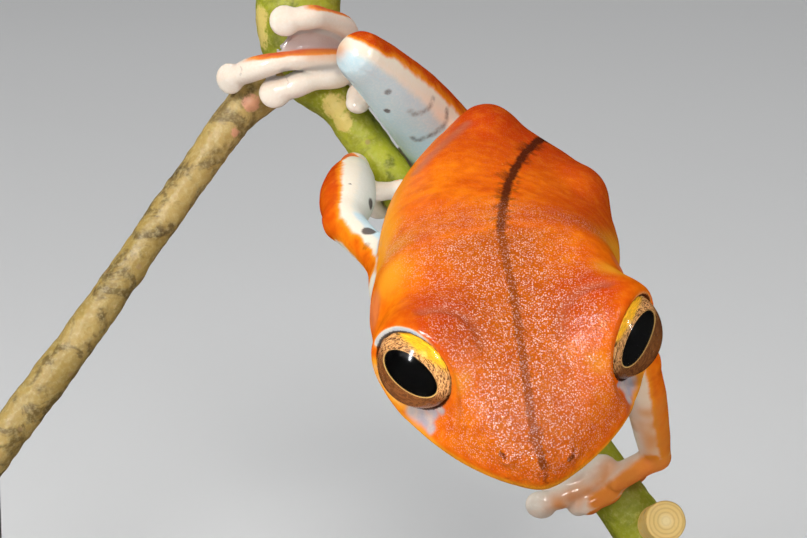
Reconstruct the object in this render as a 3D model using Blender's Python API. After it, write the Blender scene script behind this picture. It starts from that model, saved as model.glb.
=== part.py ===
import math

import bmesh
import bpy
import numpy as np
from mathutils import Matrix

# Sizes in millimetres
EYE_RADIUS = 2.62
SOCKET_GAP = 0.28
BULGE_RADIUS = 3.06
LID_PLANE = 1.0
JOINT_GAP = 0.3
GRIP_GAP = 0.22
DISC_RADIUS = 0.98
DISC_THICKNESS = 0.48
FINGER_RADIUS = 0.61
TOE_RADIUS = 0.64
WEB_THICKNESS = 0.5
BASE_SIZE = (56.0, 60.0, 3.0)
BASE_CORNER = 7.0
ROD_RADIUS = 1.25

# The pose is laid out in a plan tilted back by this angle
PLAN_TILT = math.radians(15.0)
PLAN_ORIGIN = np.array([4.5, -19.7, 39.0])

# Head: the middle between the eyes, and the forward and left directions
HEAD_CENTRE = (6.65, -4.5, 0.7)
HEAD_FORWARD = (0.15, -0.76, -0.64)
HEAD_LEFT = (0.985, 0.135, 0.05)
EYE_OFFSET = (0.0, 5.6, 0.0)
EYE_AXIS = {-1: (0.71, 0.65, 0.24), 1: (0.58, 0.81, 0.10)}
HEAD_BACK = -8.3
HEAD_WIDEST = -3.6
NECK_BEND = 0.8
TYMPANUM = (-5.2, 6.95, -1.2)
TYMPANUM_RADIUS = 1.25
NOSTRIL = (6.95, 2.05, -0.75)

for old in list(bpy.data.objects):
    bpy.data.objects.remove(old, do_unlink=True)
scene = bpy.context.scene


def turn(vec):
    """Turn a plan direction (right, up, back) into model axes."""
    x, y, d = vec
    s, c = math.sin(PLAN_TILT), math.cos(PLAN_TILT)
    return np.array([x, y * s + d * c, y * c - d * s])


def plan(vec):
    """Place a plan point (right, up, back) in the model, in mm."""
    return turn(vec) + PLAN_ORIGIN


def unit(v):
    v = np.asarray(v, float)
    return v / np.linalg.norm(v)


def mesh_object(name, verts, faces):
    mesh = bpy.data.meshes.new(name)
    mesh.from_pydata([tuple(map(float, v)) for v in verts], [], faces)
    bm = bmesh.new()
    bm.from_mesh(mesh)
    bmesh.ops.recalc_face_normals(bm, faces=bm.faces)
    bm.to_mesh(mesh)
    bm.free()
    obj = bpy.data.objects.new(name, mesh)
    scene.collection.objects.link(obj)
    return obj


def loft(name, rings):
    """Skin closed rings and cap both ends with fans."""
    rings = [np.asarray(r) for r in rings]
    n = len(rings[0])
    verts = [p for r in rings for p in r]
    faces = []
    for k in range(len(rings) - 1):
        for i in range(n):
            j = (i + 1) % n
            faces.append((k * n + i, k * n + j, (k + 1) * n + j, (k + 1) * n + i))
    for k in (0, len(rings) - 1):
        mid = len(verts)
        verts.append(rings[k].mean(axis=0))
        for i in range(n):
            faces.append((k * n + i, k * n + (i + 1) % n, mid))
    return mesh_object(name, verts, faces)


def curve(points, per_span):
    """Catmull-Rom curve through rows of numbers."""
    pts = np.asarray(points, float)
    ext = np.vstack([2 * pts[0] - pts[1], pts, 2 * pts[-1] - pts[-2]])
    out = []
    for i in range(1, len(ext) - 2):
        a, b, c, d = ext[i - 1], ext[i], ext[i + 1], ext[i + 2]
        for k in range(per_span):
            t = k / per_span
            out.append(0.5 * (2 * b + (c - a) * t + (2 * a - 5 * b + 4 * c - d) * t * t
                              + (3 * b - a - 3 * c + d) * t ** 3))
    out.append(pts[-1])
    return np.array(out)


def carried_frames(path, hint):
    """Side and up directions carried along a path without twist."""
    tangents = np.gradient(path, axis=0)
    tangents /= np.linalg.norm(tangents, axis=1)[:, None]
    side = unit(np.cross(tangents[0], hint))
    frames = []
    for t in tangents:
        side = unit(side - t * side.dot(t))
        frames.append((side, np.cross(side, t), t))
    return frames


def tube(name, stations, sides=12, per_span=4, hint=(0, 0, 1), grow=0.0, square=2.0):
    """A limb of round or flattened section; a station is point, width, thickness."""
    rows = [list(plan(s[0])) + [s[1], s[2] if len(s) > 2 else s[1]] for s in stations]
    rows = curve(rows, per_span)
    path = rows[:, :3]
    frames = carried_frames(path, np.asarray(hint, float))
    rings = []
    angle = np.arange(sides) * 2 * math.pi / sides
    ca, sa = np.cos(angle), np.sin(angle)
    ca = np.sign(ca) * abs(ca) ** (2 / square)
    sa = np.sign(sa) * abs(sa) ** (2 / square)

    def ring(p, frame, w, t, push=0.0):
        return (p + frame[2] * push + np.outer(ca, frame[0]) * w + np.outer(sa, frame[1]) * t)

    for end, sign in ((0, -1), (-1, 1)):
        w, t = rows[end, 3] + grow, rows[end, 4] + grow
        caps = []
        for a in (0.9, 0.5):
            lean = math.cos(a * math.pi / 2)
            push = sign * math.sin(a * math.pi / 2) * min(w, t)
            caps.append(ring(path[end], frames[end], w * lean, t * lean, push))
        if end == 0:
            rings += caps
        else:
            tail = caps[::-1]
    for p, frame, row in zip(path, frames, rows):
        rings.append(ring(p, frame, row[3] + grow, row[4] + grow))
    rings += tail
    return loft(name, rings)


def ball(name, centre, axes, radii, seg=16, rows=8):
    """Ellipsoid with three given axis directions, centre in model mm."""
    axes = [unit(a) for a in axes]
    verts = [centre + axes[2] * radii[2]]
    for i in range(1, rows):
        a = math.pi * i / rows
        for k in range(seg):
            b = 2 * math.pi * k / seg
            verts.append(centre + axes[0] * radii[0] * math.sin(a) * math.cos(b)
                         + axes[1] * radii[1] * math.sin(a) * math.sin(b)
                         + axes[2] * radii[2] * math.cos(a))
    verts.append(centre - axes[2] * radii[2])
    faces = [(0, 1 + k, 1 + (k + 1) % seg) for k in range(seg)]
    for i in range(rows - 2):
        for k in range(seg):
            a, b = 1 + i * seg + k, 1 + i * seg + (k + 1) % seg
            faces.append((a, a + seg, b + seg, b))
    last = len(verts) - 1
    start = last - seg
    faces += [(last, start + (k + 1) % seg, start + k) for k in range(seg)]
    return mesh_object(name, verts, faces)


def ring_bead(name, centre, axis, major, minor, seg=28, sides=8, squash=1.0):
    """Torus around an axis, used for lids and ear rims."""
    axis = unit(axis)
    side = unit(np.cross(axis, (0.31, 0.22, 0.92)))
    other = np.cross(axis, side)
    verts, faces = [], []
    for i in range(seg):
        a = 2 * math.pi * i / seg
        out = side * math.cos(a) + other * math.sin(a)
        for k in range(sides):
            b = 2 * math.pi * k / sides
            verts.append(centre + out * (major + minor * math.cos(b))
                         + axis * minor * squash * math.sin(b))
    for i in range(seg):
        for k in range(sides):
            a, b = i * sides + k, i * sides + (k + 1) % sides
            c, d = ((i + 1) % seg) * sides + (k + 1) % sides, ((i + 1) % seg) * sides + k
            faces.append((a, b, c, d))
    return mesh_object(name, verts, faces)


def slab(name, centre, axes, half):
    """Box given by three axis directions."""
    axes = [unit(a) for a in axes]
    verts = []
    for i in (-1, 1):
        for j in (-1, 1):
            for k in (-1, 1):
                verts.append(centre + axes[0] * half[0] * i + axes[1] * half[1] * j
                             + axes[2] * half[2] * k)
    faces = [(0, 1, 3, 2), (4, 6, 7, 5), (0, 4, 5, 1), (2, 3, 7, 6), (0, 2, 6, 4), (1, 5, 7, 3)]
    return mesh_object(name, verts, faces)


def bake(obj):
    """Apply the modifiers of an object."""
    graph = bpy.context.evaluated_depsgraph_get()
    mesh = bpy.data.meshes.new_from_object(obj.evaluated_get(graph))
    obj.modifiers.clear()
    obj.data = mesh


def combine(base, others, operation, solver="EXACT"):
    """One Boolean with a collection of closed objects, which are then removed."""
    if not others:
        return
    group = bpy.data.collections.new("cut")
    for other in others:
        group.objects.link(other)
    mod = base.modifiers.new("join", "BOOLEAN")
    mod.operation = operation
    mod.operand_type = "COLLECTION"
    mod.collection = group
    mod.solver = solver
    bake(base)
    for other in others:
        bpy.data.objects.remove(other, do_unlink=True)
    bpy.data.collections.remove(group)


def keep_largest(obj):
    """Keep the largest closed surface of a node."""
    bm = bmesh.new()
    bm.from_mesh(obj.data)
    bmesh.ops.triangulate(bm, faces=[f for f in bm.faces if len(f.verts) > 4])
    left = set(bm.faces)
    islands = []
    while left:
        stack = [left.pop()]
        island = list(stack)
        while stack:
            face = stack.pop()
            for edge in face.edges:
                for other in edge.link_faces:
                    if other in left:
                        left.remove(other)
                        island.append(other)
                        stack.append(other)
        islands.append(island)
    islands.sort(key=lambda isl: sum(f.calc_area() for f in isl), reverse=True)
    for island in islands[1:]:
        bmesh.ops.delete(bm, geom=island, context="FACES")
    loose = [v for v in bm.verts if not v.link_faces]
    bmesh.ops.delete(bm, geom=loose, context="VERTS")
    bmesh.ops.remove_doubles(bm, verts=bm.verts, dist=0.002)
    bmesh.ops.dissolve_degenerate(bm, edges=bm.edges, dist=0.001)
    bm.to_mesh(obj.data)
    bm.free()


def node(name, pieces, cutters, colour, roughness=0.4):
    """Fuse pieces into one named node, cut it clear of its neighbours and finish it."""
    base = pieces[0]
    combine(base, pieces[1:], "UNION")
    combine(base, cutters, "DIFFERENCE")
    keep_largest(base)
    base.name = name
    base.data.name = name
    base.data.transform(Matrix.Scale(0.001, 4))
    base.data.shade_smooth()
    base.data.set_sharp_from_angle(angle=math.radians(42))
    mat = bpy.data.materials.new(name)
    mat.use_nodes = True
    bsdf = mat.node_tree.nodes["Principled BSDF"]
    bsdf.inputs["Base Color"].default_value = (*colour, 1.0)
    bsdf.inputs["Roughness"].default_value = roughness
    base.data.materials.clear()
    base.data.materials.append(mat)
    return base


# Head axes in model space
FORWARD = unit(turn(HEAD_FORWARD))
LEFT = turn(HEAD_LEFT)
LEFT = unit(LEFT - FORWARD * LEFT.dot(FORWARD))
UP = np.cross(FORWARD, LEFT)


def head_point(x, y, z):
    return plan(HEAD_CENTRE) + FORWARD * x + LEFT * y + UP * z


def head_dir(x, y, z):
    return FORWARD * x + LEFT * y + UP * z


def lip_height(x):
    return -3.45 + 0.035 * x


def canthus_height(x):
    return 0.85 - 0.034 * max(x, 0.0) ** 2


def crown_height(x):
    return 1.85 - 0.045 * max(x, 0.0) ** 2 - 0.021 * max(-x - 3.0, 0.0) ** 2


def head_levels():
    """Plan outlines from throat to crown: half width, tip, height as a function of x."""
    return [
        (2.6, 3.9, lambda x: -5.45),
        (5.0, 5.3, lambda x: -5.25),
        (6.7, 6.25, lambda x: -4.7),
        (7.5, 7.2, lambda x: lip_height(x) - 0.65),
        (7.8, 7.75, lambda x: lip_height(x) - 0.18),
        (7.6, 7.55, lambda x: lip_height(x)),
        (8.1, 8.15, lambda x: lip_height(x) + 0.2),
        (8.15, 8.15, lambda x: lip_height(x) + 0.7),
        (7.8, 8.08, lambda x: lip_height(x) + 0.45 * (canthus_height(x) - lip_height(x))),
        (7.2, 7.95, lambda x: lip_height(x) + 0.75 * (canthus_height(x) - lip_height(x))),
        (6.5, 7.75, lambda x: canthus_height(x)),
        (5.6, 7.3, lambda x: 0.45 * canthus_height(x) + 0.55 * crown_height(x)),
        (4.0, 6.6, lambda x: 0.1 * canthus_height(x) + 0.9 * crown_height(x)),
        (2.0, 5.6, lambda x: crown_height(x) + 0.06),
    ]


def neck_shift(x):
    """The back of the head leans to the right, as the head is turned to the left."""
    t = min(max((x + 1.0) / (HEAD_BACK + 1.0), 0.0), 1.0)
    return -NECK_BEND * t * t * (3.0 - 2.0 * t)


def head_outline(half, tip, count=13):
    """Right rear corner, round the snout, to the left rear corner."""
    right = [(HEAD_BACK, 0.87 * half), (0.55 * HEAD_BACK + 0.45 * HEAD_WIDEST, 0.935 * half)]
    for i in range(count):
        a = 0.5 * math.pi * i / count
        right.append((HEAD_WIDEST + (tip - HEAD_WIDEST) * math.sin(a), half * math.cos(a) ** 1.47))
    left = [(x, y + neck_shift(x)) for x, y in reversed(right)]
    return [(x, neck_shift(x) - y) for x, y in right] + [(tip, 0.0)] + left


def skull():
    rings = []
    for half, tip, height in head_levels():
        rings.append([head_point(x, y, height(x)) for x, y in head_outline(half, tip)])
    n = len(rings[0])
    verts = [p for ring in rings for p in ring]
    faces = []
    for k in range(len(rings) - 1):
        for i in range(n):
            j = (i + 1) % n
            faces.append((k * n + i, k * n + j, (k + 1) * n + j, (k + 1) * n + i))
    for k in (0, len(rings) - 1):
        for i in range((n - 1) // 2):
            a, b = k * n + i, k * n + i + 1
            c, d = k * n + n - 2 - i, k * n + n - 1 - i
            faces.append((a, b, c, d) if b != c else (a, b, d))
    return mesh_object("head", verts, faces)


def eye_centre(side):
    x, y, z = EYE_OFFSET
    return head_point(x, y * side, z)


def eye_axis(side):
    x, y, z = EYE_AXIS[side]
    return unit(head_dir(x, y * side, z))


def make_head():
    head = skull()
    pieces, cutters = [head], []
    for side in (-1, 1):
        centre, axis = eye_centre(side), eye_axis(side)
        across = unit(np.cross(axis, UP))
        high = np.cross(across, axis)
        bulge = ball("bulge", centre, (across, high, axis),
                     (BULGE_RADIUS, BULGE_RADIUS, BULGE_RADIUS), 24, 12)
        brow = ball("brow", head_point(-0.5, 4.35 * side, -0.45),
                    (FORWARD, LEFT, UP), (4.0, 3.5, 3.05), 20, 10)
        combine(bulge, [brow], "UNION")
        trim = slab("trim", centre + axis * (LID_PLANE + 5.0), (across, high, axis), (5, 5, 5))
        combine(bulge, [trim], "DIFFERENCE")
        lid = ring_bead("lid", centre + axis * LID_PLANE, axis, 2.84, 0.2, 24, 7)
        pieces += [bulge, lid]
        cutters.append(ball("socket", centre, (across, high, axis),
                            (EYE_RADIUS + SOCKET_GAP,) * 3, 24, 12))
        ear = head_point(TYMPANUM[0], TYMPANUM[1] * side + neck_shift(TYMPANUM[0]), TYMPANUM[2])
        out = unit(head_dir(-0.12, side, 0.28))
        pieces.append(ring_bead("ear", ear - out * 0.05, out, TYMPANUM_RADIUS, 0.26, 18, 6))
        nose = head_point(*(NOSTRIL * np.array([1, side, 1])))
        look = unit(head_dir(0.35, side * 0.8, 0.5))
        pieces.append(ball("nose", nose - look * 0.3, (FORWARD, LEFT, UP),
                           (0.7, 0.6, 0.5), 12, 6))
        cutters.append(ball("nostril", nose + look * 0.16, (look, np.cross(look, UP), UP),
                            (0.42, 0.26, 0.17), 10, 6))
    return node("head", pieces, cutters, (0.80, 0.20, 0.015))


# Ends of the sacrum, which show as two low knobs on the back, and their radii
SACRUM = (((5.37, 8.85, 21.0), 1.35), ((10.99, 4.83, 18.0), 1.3))

# Trunk: centre, left direction, half width, height above, depth below, squareness
TRUNK = (
    ((5.9, -4.4, 2.6), (0.985, 0.135, 0.05), 6.6, 3.3, 3.3, 2.3),
    ((5.55, -1.3, 5.9), (0.985, 0.12, 0.05), 6.95, 3.7, 3.9, 2.3),
    ((5.6, -0.35, 9.4), (0.995, 0.0, 0.0), 7.2, 4.5, 4.6, 2.3),
    ((5.8, 0.9, 12.8), (0.985, -0.16, 0.0), 7.3, 4.4, 5.0, 2.4),
    ((6.1, 1.9, 15.4), (0.96, -0.28, 0.0), 7.2, 4.4, 5.0, 2.5),
    ((6.4, 3.0, 17.6), (0.92, -0.39, 0.0), 6.8, 4.2, 4.8, 2.7),
    ((6.8, 4.2, 19.9), (0.88, -0.47, 0.0), 6.2, 3.9, 4.4, 2.9),
    ((7.2, 5.0, 22.4), (0.85, -0.53, 0.0), 5.6, 3.6, 4.0, 3.0),
    ((7.3, 4.7, 27.0), (0.84, -0.54, 0.0), 4.6, 3.0, 3.5, 2.6),
    ((7.0, 3.7, 31.5), (0.84, -0.54, 0.0), 3.9, 2.5, 3.0, 2.3),
    ((6.8, 3.0, 35.6), (0.84, -0.54, 0.0), 2.2, 1.5, 1.8, 2.1),
)


def torso_mesh(name, grow=0.0, sides=26, per_span=3):
    rows = []
    for centre, left, half, above, below, square in TRUNK:
        rows.append(list(plan(centre)) + list(turn(left)) + [half, above, below, square])
    rows = curve(rows, per_span)
    path = rows[:, :3]
    tangents = np.gradient(path, axis=0)
    rings = []
    for row, tangent in zip(rows, tangents):
        back = unit(tangent)
        left = unit(row[3:6] - back * back.dot(row[3:6]))
        up = np.cross(-back, left)
        half, above, below = row[6] + grow, row[7] + grow, row[8] + grow
        power = 2.0 / row[9]
        ring = []
        for i in range(sides):
            a = 2 * math.pi * i / sides
            c, s = math.cos(a), math.sin(a)
            y = half * math.copysign(abs(c) ** power, c)
            z = (above if s > 0 else below) * math.copysign(abs(s) ** power, s)
            ring.append(row[:3] + left * y + up * z)
        rings.append(np.array(ring))
    middle = rings[-1].mean(axis=0)
    back = unit(tangents[-1])
    rings.append(middle + (rings[-1] - middle) * 0.6 + back * 0.9)
    rings.append(middle + (rings[-1] - middle) * 0.25 + back * 1.1)
    return loft(name, rings)


def sacrum(grow=0.0):
    """Low knobs of the hips on the back."""
    left, back = turn((0.88, -0.47, 0.0)), turn((0.1, 0.2, 0.97))
    return [ball("knob", plan(place), (left, back, np.cross(left, back)),
                 (radius * 1.15 + grow, radius * 2.3 + grow, radius + grow), 14, 8)
            for place, radius in SACRUM]


def behind_head(offset):
    """Box that fills the space in front of the neck plane."""
    return slab("front", head_point(HEAD_BACK - offset + 20.0, 0, 0), (FORWARD, LEFT, UP),
                (20, 20, 20))


# Perch: centre line and radius
BRANCH = (
    ((-6.76, 18.04, 27.6), 2.8),
    ((-6.82, 15.45, 27.6), 2.65),
    ((-6.17, 13.00, 27.6), 2.25),
    ((-4.04, 10.47, 27.4), 1.46),
    ((-0.61, 5.74, 27.2), 1.42),
    ((3.32, -0.06, 27.2), 1.46),
    ((7.52, -5.87, 27.2), 1.55),
    ((11.71, -11.68, 27.2), 1.78),
    ((16.23, -18.01, 27.2), 1.85),
)
TWIG = (
    ((-6.82, 13.38, 27.6), 1.6),
    ((-10.36, 10.33, 27.3), 1.32),
    ((-12.66, 7.28, 26.8), 1.2),
    ((-17.90, -0.26, 26.2), 1.17),
    ((-22.05, -6.10, 26.0), 1.25),
    ((-27.96, -13.93, 26.0), 1.35),
)
STUB = (
    ((15.90, -16.70, 27.0), 1.2),
    ((16.33, -16.24, 25.0), 1.28),
    ((16.66, -15.99, 23.4), 1.34),
)


def rod_like(name, stations, sides, per_span, grow=0.0):
    """Woody length with flat cut ends."""
    rows = curve([list(plan(p)) + [r] for p, r in stations], per_span)
    frames = carried_frames(rows[:, :3], np.array([0.0, 1.0, 0.1]))
    rings = []
    for row, frame in zip(rows, frames):
        ring = []
        for i in range(sides):
            a = 2 * math.pi * i / sides
            ring.append(row[:3] + (row[3] + grow) * (frame[0] * math.cos(a)
                                                     + frame[1] * math.sin(a)))
        rings.append(np.array(ring))
    return loft(name, rings)


def branch_at(s):
    """Centre, direction and radius of the branch at a station number."""
    rows = curve([list(plan(p)) + [r] for p, r in BRANCH], 20)
    k = min(int(round(s * 20)), len(rows) - 2)
    return rows[k, :3], unit(rows[k + 1, :3] - rows[max(k - 1, 0), :3]), rows[k, 3]


def unplan(p):
    """Model point back to plan coordinates."""
    q = np.asarray(p) - PLAN_ORIGIN
    s, c = math.sin(PLAN_TILT), math.cos(PLAN_TILT)
    return (q[0], q[1] * s + q[2] * c, q[1] * c - q[2] * s)


def grip(s, degrees, lift):
    """Plan point on the branch skin: 0 faces the front, 90 the right-hand side."""
    centre, along, radius = branch_at(s)
    front = turn((0, 0, -1))
    front = unit(front - along * along.dot(front))
    right = unit(np.cross(along, front))
    if right[0] < 0:
        right = -right
    a = math.radians(degrees)
    return unplan(centre + (front * math.cos(a) + right * math.sin(a)) * (radius + lift))


def digit(points, radius, disc_normal, disc=DISC_RADIUS):
    """Finger or toe: a slender tube ending in a flattened disc."""
    stations = [(p, radius * k, radius * k * 0.9)
                for p, k in zip(points, np.linspace(1.15, 0.92, len(points)))]
    finger = tube("digit", stations, sides=6, per_span=2)
    end, before = plan(points[-1]), plan(points[-2])
    along = unit(end - before)
    normal = np.asarray(disc_normal, float)
    normal = unit(normal - along * along.dot(normal))
    pad = ball("pad", end + along * disc * 0.35, (along, np.cross(normal, along), normal),
               (disc, disc, DISC_THICKNESS), 10, 5)
    return [finger, pad]


def web(first, second, reach, thickness=WEB_THICKNESS):
    """Webbing between two digits, scalloped toward its free edge."""
    a = curve([plan(p) for p in first], 6)
    b = curve([plan(p) for p in second], 6)
    count = 5
    rows = []
    for i in range(count):
        f = 0.12 + (reach - 0.12) * i / (count - 1)
        p = a[min(int(f * (len(a) - 1)), len(a) - 1)]
        q = b[min(int(f * (len(b) - 1)), len(b) - 1)]
        rows.append([p + (q - p) * k / 4 for k in range(5)])
    rows = np.array(rows)
    edge = rows[-1]
    edge[1:4] += (rows[-2][1:4] - edge[1:4]) * np.array([0.5, 0.8, 0.5])[:, None]
    across = rows[-1, -1] - rows[-1, 0]
    normal = unit(np.cross(across, rows[-1].mean(axis=0) - rows[0].mean(axis=0)))
    top = rows + normal * thickness / 2
    low = rows - normal * thickness / 2
    verts = list(top.reshape(-1, 3)) + list(low.reshape(-1, 3))
    m, n, off = count, 5, count * 5
    faces = []
    for i in range(m - 1):
        for k in range(n - 1):
            q = (i * n + k, i * n + k + 1, (i + 1) * n + k + 1, (i + 1) * n + k)
            faces.append(q)
            faces.append(tuple(off + v for v in q))
    rim = [k for k in range(n)] + [i * n + n - 1 for i in range(1, m)]
    rim += [(m - 1) * n + k for k in range(n - 2, -1, -1)] + [i * n for i in range(m - 2, 0, -1)]
    for i, v in enumerate(rim):
        w = rim[(i + 1) % len(rim)]
        faces.append((v, w, w + off, v + off))
    return mesh_object("web", verts, faces)


# Limb joints in the plan
SHOULDER = {"right": (-0.6, -1.5, 9.8), "left": (11.9, -1.9, 10.0)}
ELBOW = {"right": (-3.76, 2.98, 18.6), "left": (14.61, -5.75, 17.5)}
WRIST = {"right": (-3.17, 6.53, 25.2), "left": (16.10, -11.98, 24.4)}
HIP = {"right": (4.9, 5.5, 32.0), "left": (9.2, 2.3, 32.3)}
KNEE = {"right": (-2.59, 13.25, 20.0), "left": (13.84, -2.75, 48.0)}
HEEL = {"right": (5.60, 8.04, 42.0), "left": (0.57, -0.07, 34.5)}
INSTEP = {"right": (-0.37, 12.38, 35.5), "left": (4.89, -6.50, 31.2)}


def between(a, b, f, shift=(0, 0, 0)):
    return tuple(np.asarray(a) + (np.asarray(b) - np.asarray(a)) * f + np.asarray(shift))


def upper_arm(side, grow=0.0):
    a, b = SHOULDER[side], ELBOW[side]
    inner = between(a, b, -0.25)
    bow = {"right": (0.75, -0.3, 0.0), "left": (0.0, 0.0, 0.0)}[side]
    return tube("arm", [(inner, 1.4), (a, 1.35), (between(a, b, 0.5, bow), 1.02), (b, 1.2)],
                sides=12, grow=grow)


def forearm(side, grow=0.0):
    a, b = ELBOW[side], WRIST[side]
    wide = {"right": 1.75, "left": 1.3}[side]
    return tube("arm", [(a, 1.2), (between(a, b, 0.35), wide), (between(a, b, 0.7), wide * 0.9),
                        (b, 0.95, 0.85)], sides=12, grow=grow)


def thigh(side, grow=0.0):
    a, b = HIP[side], KNEE[side]
    bow = np.array({"right": (0.45, 0.3, 0.0), "left": (0.2, 0.3, 0.0)}[side])
    return tube("leg", [(a, 2.0), (between(a, b, 0.3, bow * 0.6), 2.5),
                        (between(a, b, 0.62, bow), 2.3), (between(a, b, 0.86, bow * 0.6), 1.9),
                        (b, 1.6)], sides=14, per_span=3, grow=grow)


def shank(side, grow=0.0):
    a, b = KNEE[side], HEEL[side]
    return tube("leg", [(a, 1.4), (between(a, b, 0.3), 1.85), (between(a, b, 0.7), 1.4),
                        (b, 1.15)], sides=12, grow=grow)


def tarsus(side, grow=0.0):
    a, b = HEEL[side], INSTEP[side]
    return tube("leg", [(a, 1.0, 0.9), (between(a, b, 0.5), 0.95, 0.8), (b, 1.1, 0.75)],
                sides=10, grow=grow)


def branch_cutter():
    return rod_like("cut", BRANCH, 14, 3, GRIP_GAP * 0.8)


def twig_cutter():
    return rod_like("cut", TWIG, 12, 3, GRIP_GAP * 0.8)


def heel_spur(side):
    """Pointed flap of skin on the heel."""
    a, b = np.asarray(KNEE[side]), np.asarray(HEEL[side])
    out = (b - a) / np.linalg.norm(b - a)
    return tube("spur", [(tuple(b - out * 0.4), 0.85, 0.5), (tuple(b + out * 1.4), 0.6, 0.35),
                         (tuple(b + out * 2.6), 0.22, 0.16)], sides=8, per_span=2)


def hand_right():
    lift = FINGER_RADIUS + GRIP_GAP
    palm = grip(3.88, -62, 0.95)
    fingers = [
        [palm, grip(3.98, -42, lift), grip(4.08, -10, lift), grip(4.18, 14, lift)],
        [palm, grip(4.02, -70, lift), grip(4.15, -110, lift), grip(4.22, -158, lift),
         grip(4.25, -190, lift)],
        [palm, grip(3.9, -80, lift), grip(3.93, -130, lift), grip(3.92, -170, lift),
         grip(3.9, -215, lift)],
        [palm, grip(3.8, -80, lift), grip(3.75, -125, lift), grip(3.66, -168, lift)],
    ]
    return WRIST["right"], palm, fingers, 3.9


def hand_left():
    lift = FINGER_RADIUS + GRIP_GAP
    palm = (13.64, -13.35, 24.9)
    fingers = [
        [palm, (12.81, -12.46, 24.9), (11.18, -13.01, 25.6), (9.94, -13.64, 26.4)],
        [palm, (12.81, -13.48, 24.9), (11.06, -14.29, 25.6), (9.16, -15.04, 26.3)],
        [palm, (13.32, -14.25, 24.9), (12.19, -14.91, 25.3), (11.33, -15.15, 26.0)],
        [palm, grip(7.35, 55, lift), grip(7.4, 110, lift), grip(7.45, 165, lift)],
    ]
    return WRIST["left"], palm, fingers, 7.2


def build_hand(side):
    wrist, palm, fingers, s = {"right": hand_right, "left": hand_left}[side]()
    palm_width = {"right": 1.35, "left": 1.6}[side]
    pieces = [tube("hand", [(wrist, 0.85, 0.8), (between(wrist, palm, 0.55), 1.15, 0.8),
                            (palm, palm_width, 0.75)], sides=10, per_span=2)]
    for points in fingers:
        centre, along, radius = branch_at(s)
        end = plan(points[-1])
        foot = centre + along * along.dot(end - centre)
        pieces += digit(points, FINGER_RADIUS, end - foot)
    for first, second in zip(fingers[:-1], fingers[1:]):
        pieces.append(web(first[:3], second[:3], 0.75))
    cutters = [forearm(side, JOINT_GAP), branch_cutter(), torso_mesh("cut", JOINT_GAP, 24, 2)]
    if side == "right":
        cutters.append(thigh(side, JOINT_GAP))
    return node("hand_" + side, pieces, cutters, (0.86, 0.62, 0.45))


def toes_right():
    return [
        [(-3.03, 12.71, 29.5), (-2.86, 11.65, 26.6), (-2.91, 10.67, 24.9)],
        [(-3.36, 12.71, 29.5), (-4.12, 12.12, 28.2), (-5.50, 12.04, 26.6)],
        [(-3.48, 13.09, 29.2), (-4.08, 12.33, 26.0), (-6.09, 11.93, 24.6), (-7.88, 11.36, 24.6)],
        [(-3.61, 13.47, 29.0), (-4.71, 13.38, 25.4), (-7.34, 13.21, 23.6), (-9.51, 12.73, 24.0), (-10.83, 12.27, 24.9)],
        [(-3.35, 14.12, 29.0), (-3.70, 15.51, 26.6), (-5.32, 16.05, 24.2), (-7.20, 15.80, 23.4)],
    ]


def toes_left():
    lift = TOE_RADIUS + GRIP_GAP
    return [
        [grip(5.45, -150, 1.2), grip(5.30, -110, lift), grip(5.25, -62, lift)],
        [grip(5.55, -150, 1.2), grip(5.55, -105, lift), grip(5.57, -48, lift)],
        [grip(5.65, -155, 1.2), grip(5.85, -120, lift), grip(5.95, -60, lift), grip(6.00, -15, lift)],
        [grip(5.65, -160, 1.2), grip(6.00, -170, lift), grip(6.30, -200, lift),
         grip(6.45, -250, lift), grip(6.50, -295, lift)],
        [grip(5.55, -170, 1.2), grip(5.75, -200, lift), grip(5.90, -240, lift),
         grip(5.95, -285, lift)],
    ]


def build_foot(side):
    toes = {"right": toes_right, "left": toes_left}[side]()
    start = INSTEP[side]
    mid = tuple(np.mean([np.asarray(t[0]) for t in toes], axis=0))
    pieces = [tube("sole", [(start, 0.95, 0.7), (between(start, mid, 0.5), 1.1, 0.7),
                            (mid, 1.5, 0.7)], sides=10, per_span=3)]
    for k, points in enumerate(toes):
        if side == "right":
            normal = turn((0, 0, -1))
        else:
            centre, along, radius = branch_at(5.75)
            end = plan(points[-1])
            normal = end - centre - along * along.dot(end - centre)
        pieces += digit([mid] + points if k in (1, 3) else points, TOE_RADIUS, normal,
                        DISC_RADIUS * (0.75 if k < 2 else 1.0))
    for first, second in zip(toes[:-1], toes[1:]):
        pieces.append(web(first, second, 0.6))
    cutters = [tarsus(side, JOINT_GAP), branch_cutter()]
    if side == "right":
        cutters += [twig_cutter(), thigh(side, JOINT_GAP), shank(side, JOINT_GAP)]
    return node("foot_" + side, pieces, cutters, (0.86, 0.62, 0.45))


ORANGE = (0.80, 0.20, 0.015)
PALE = (0.78, 0.80, 0.82)

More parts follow.
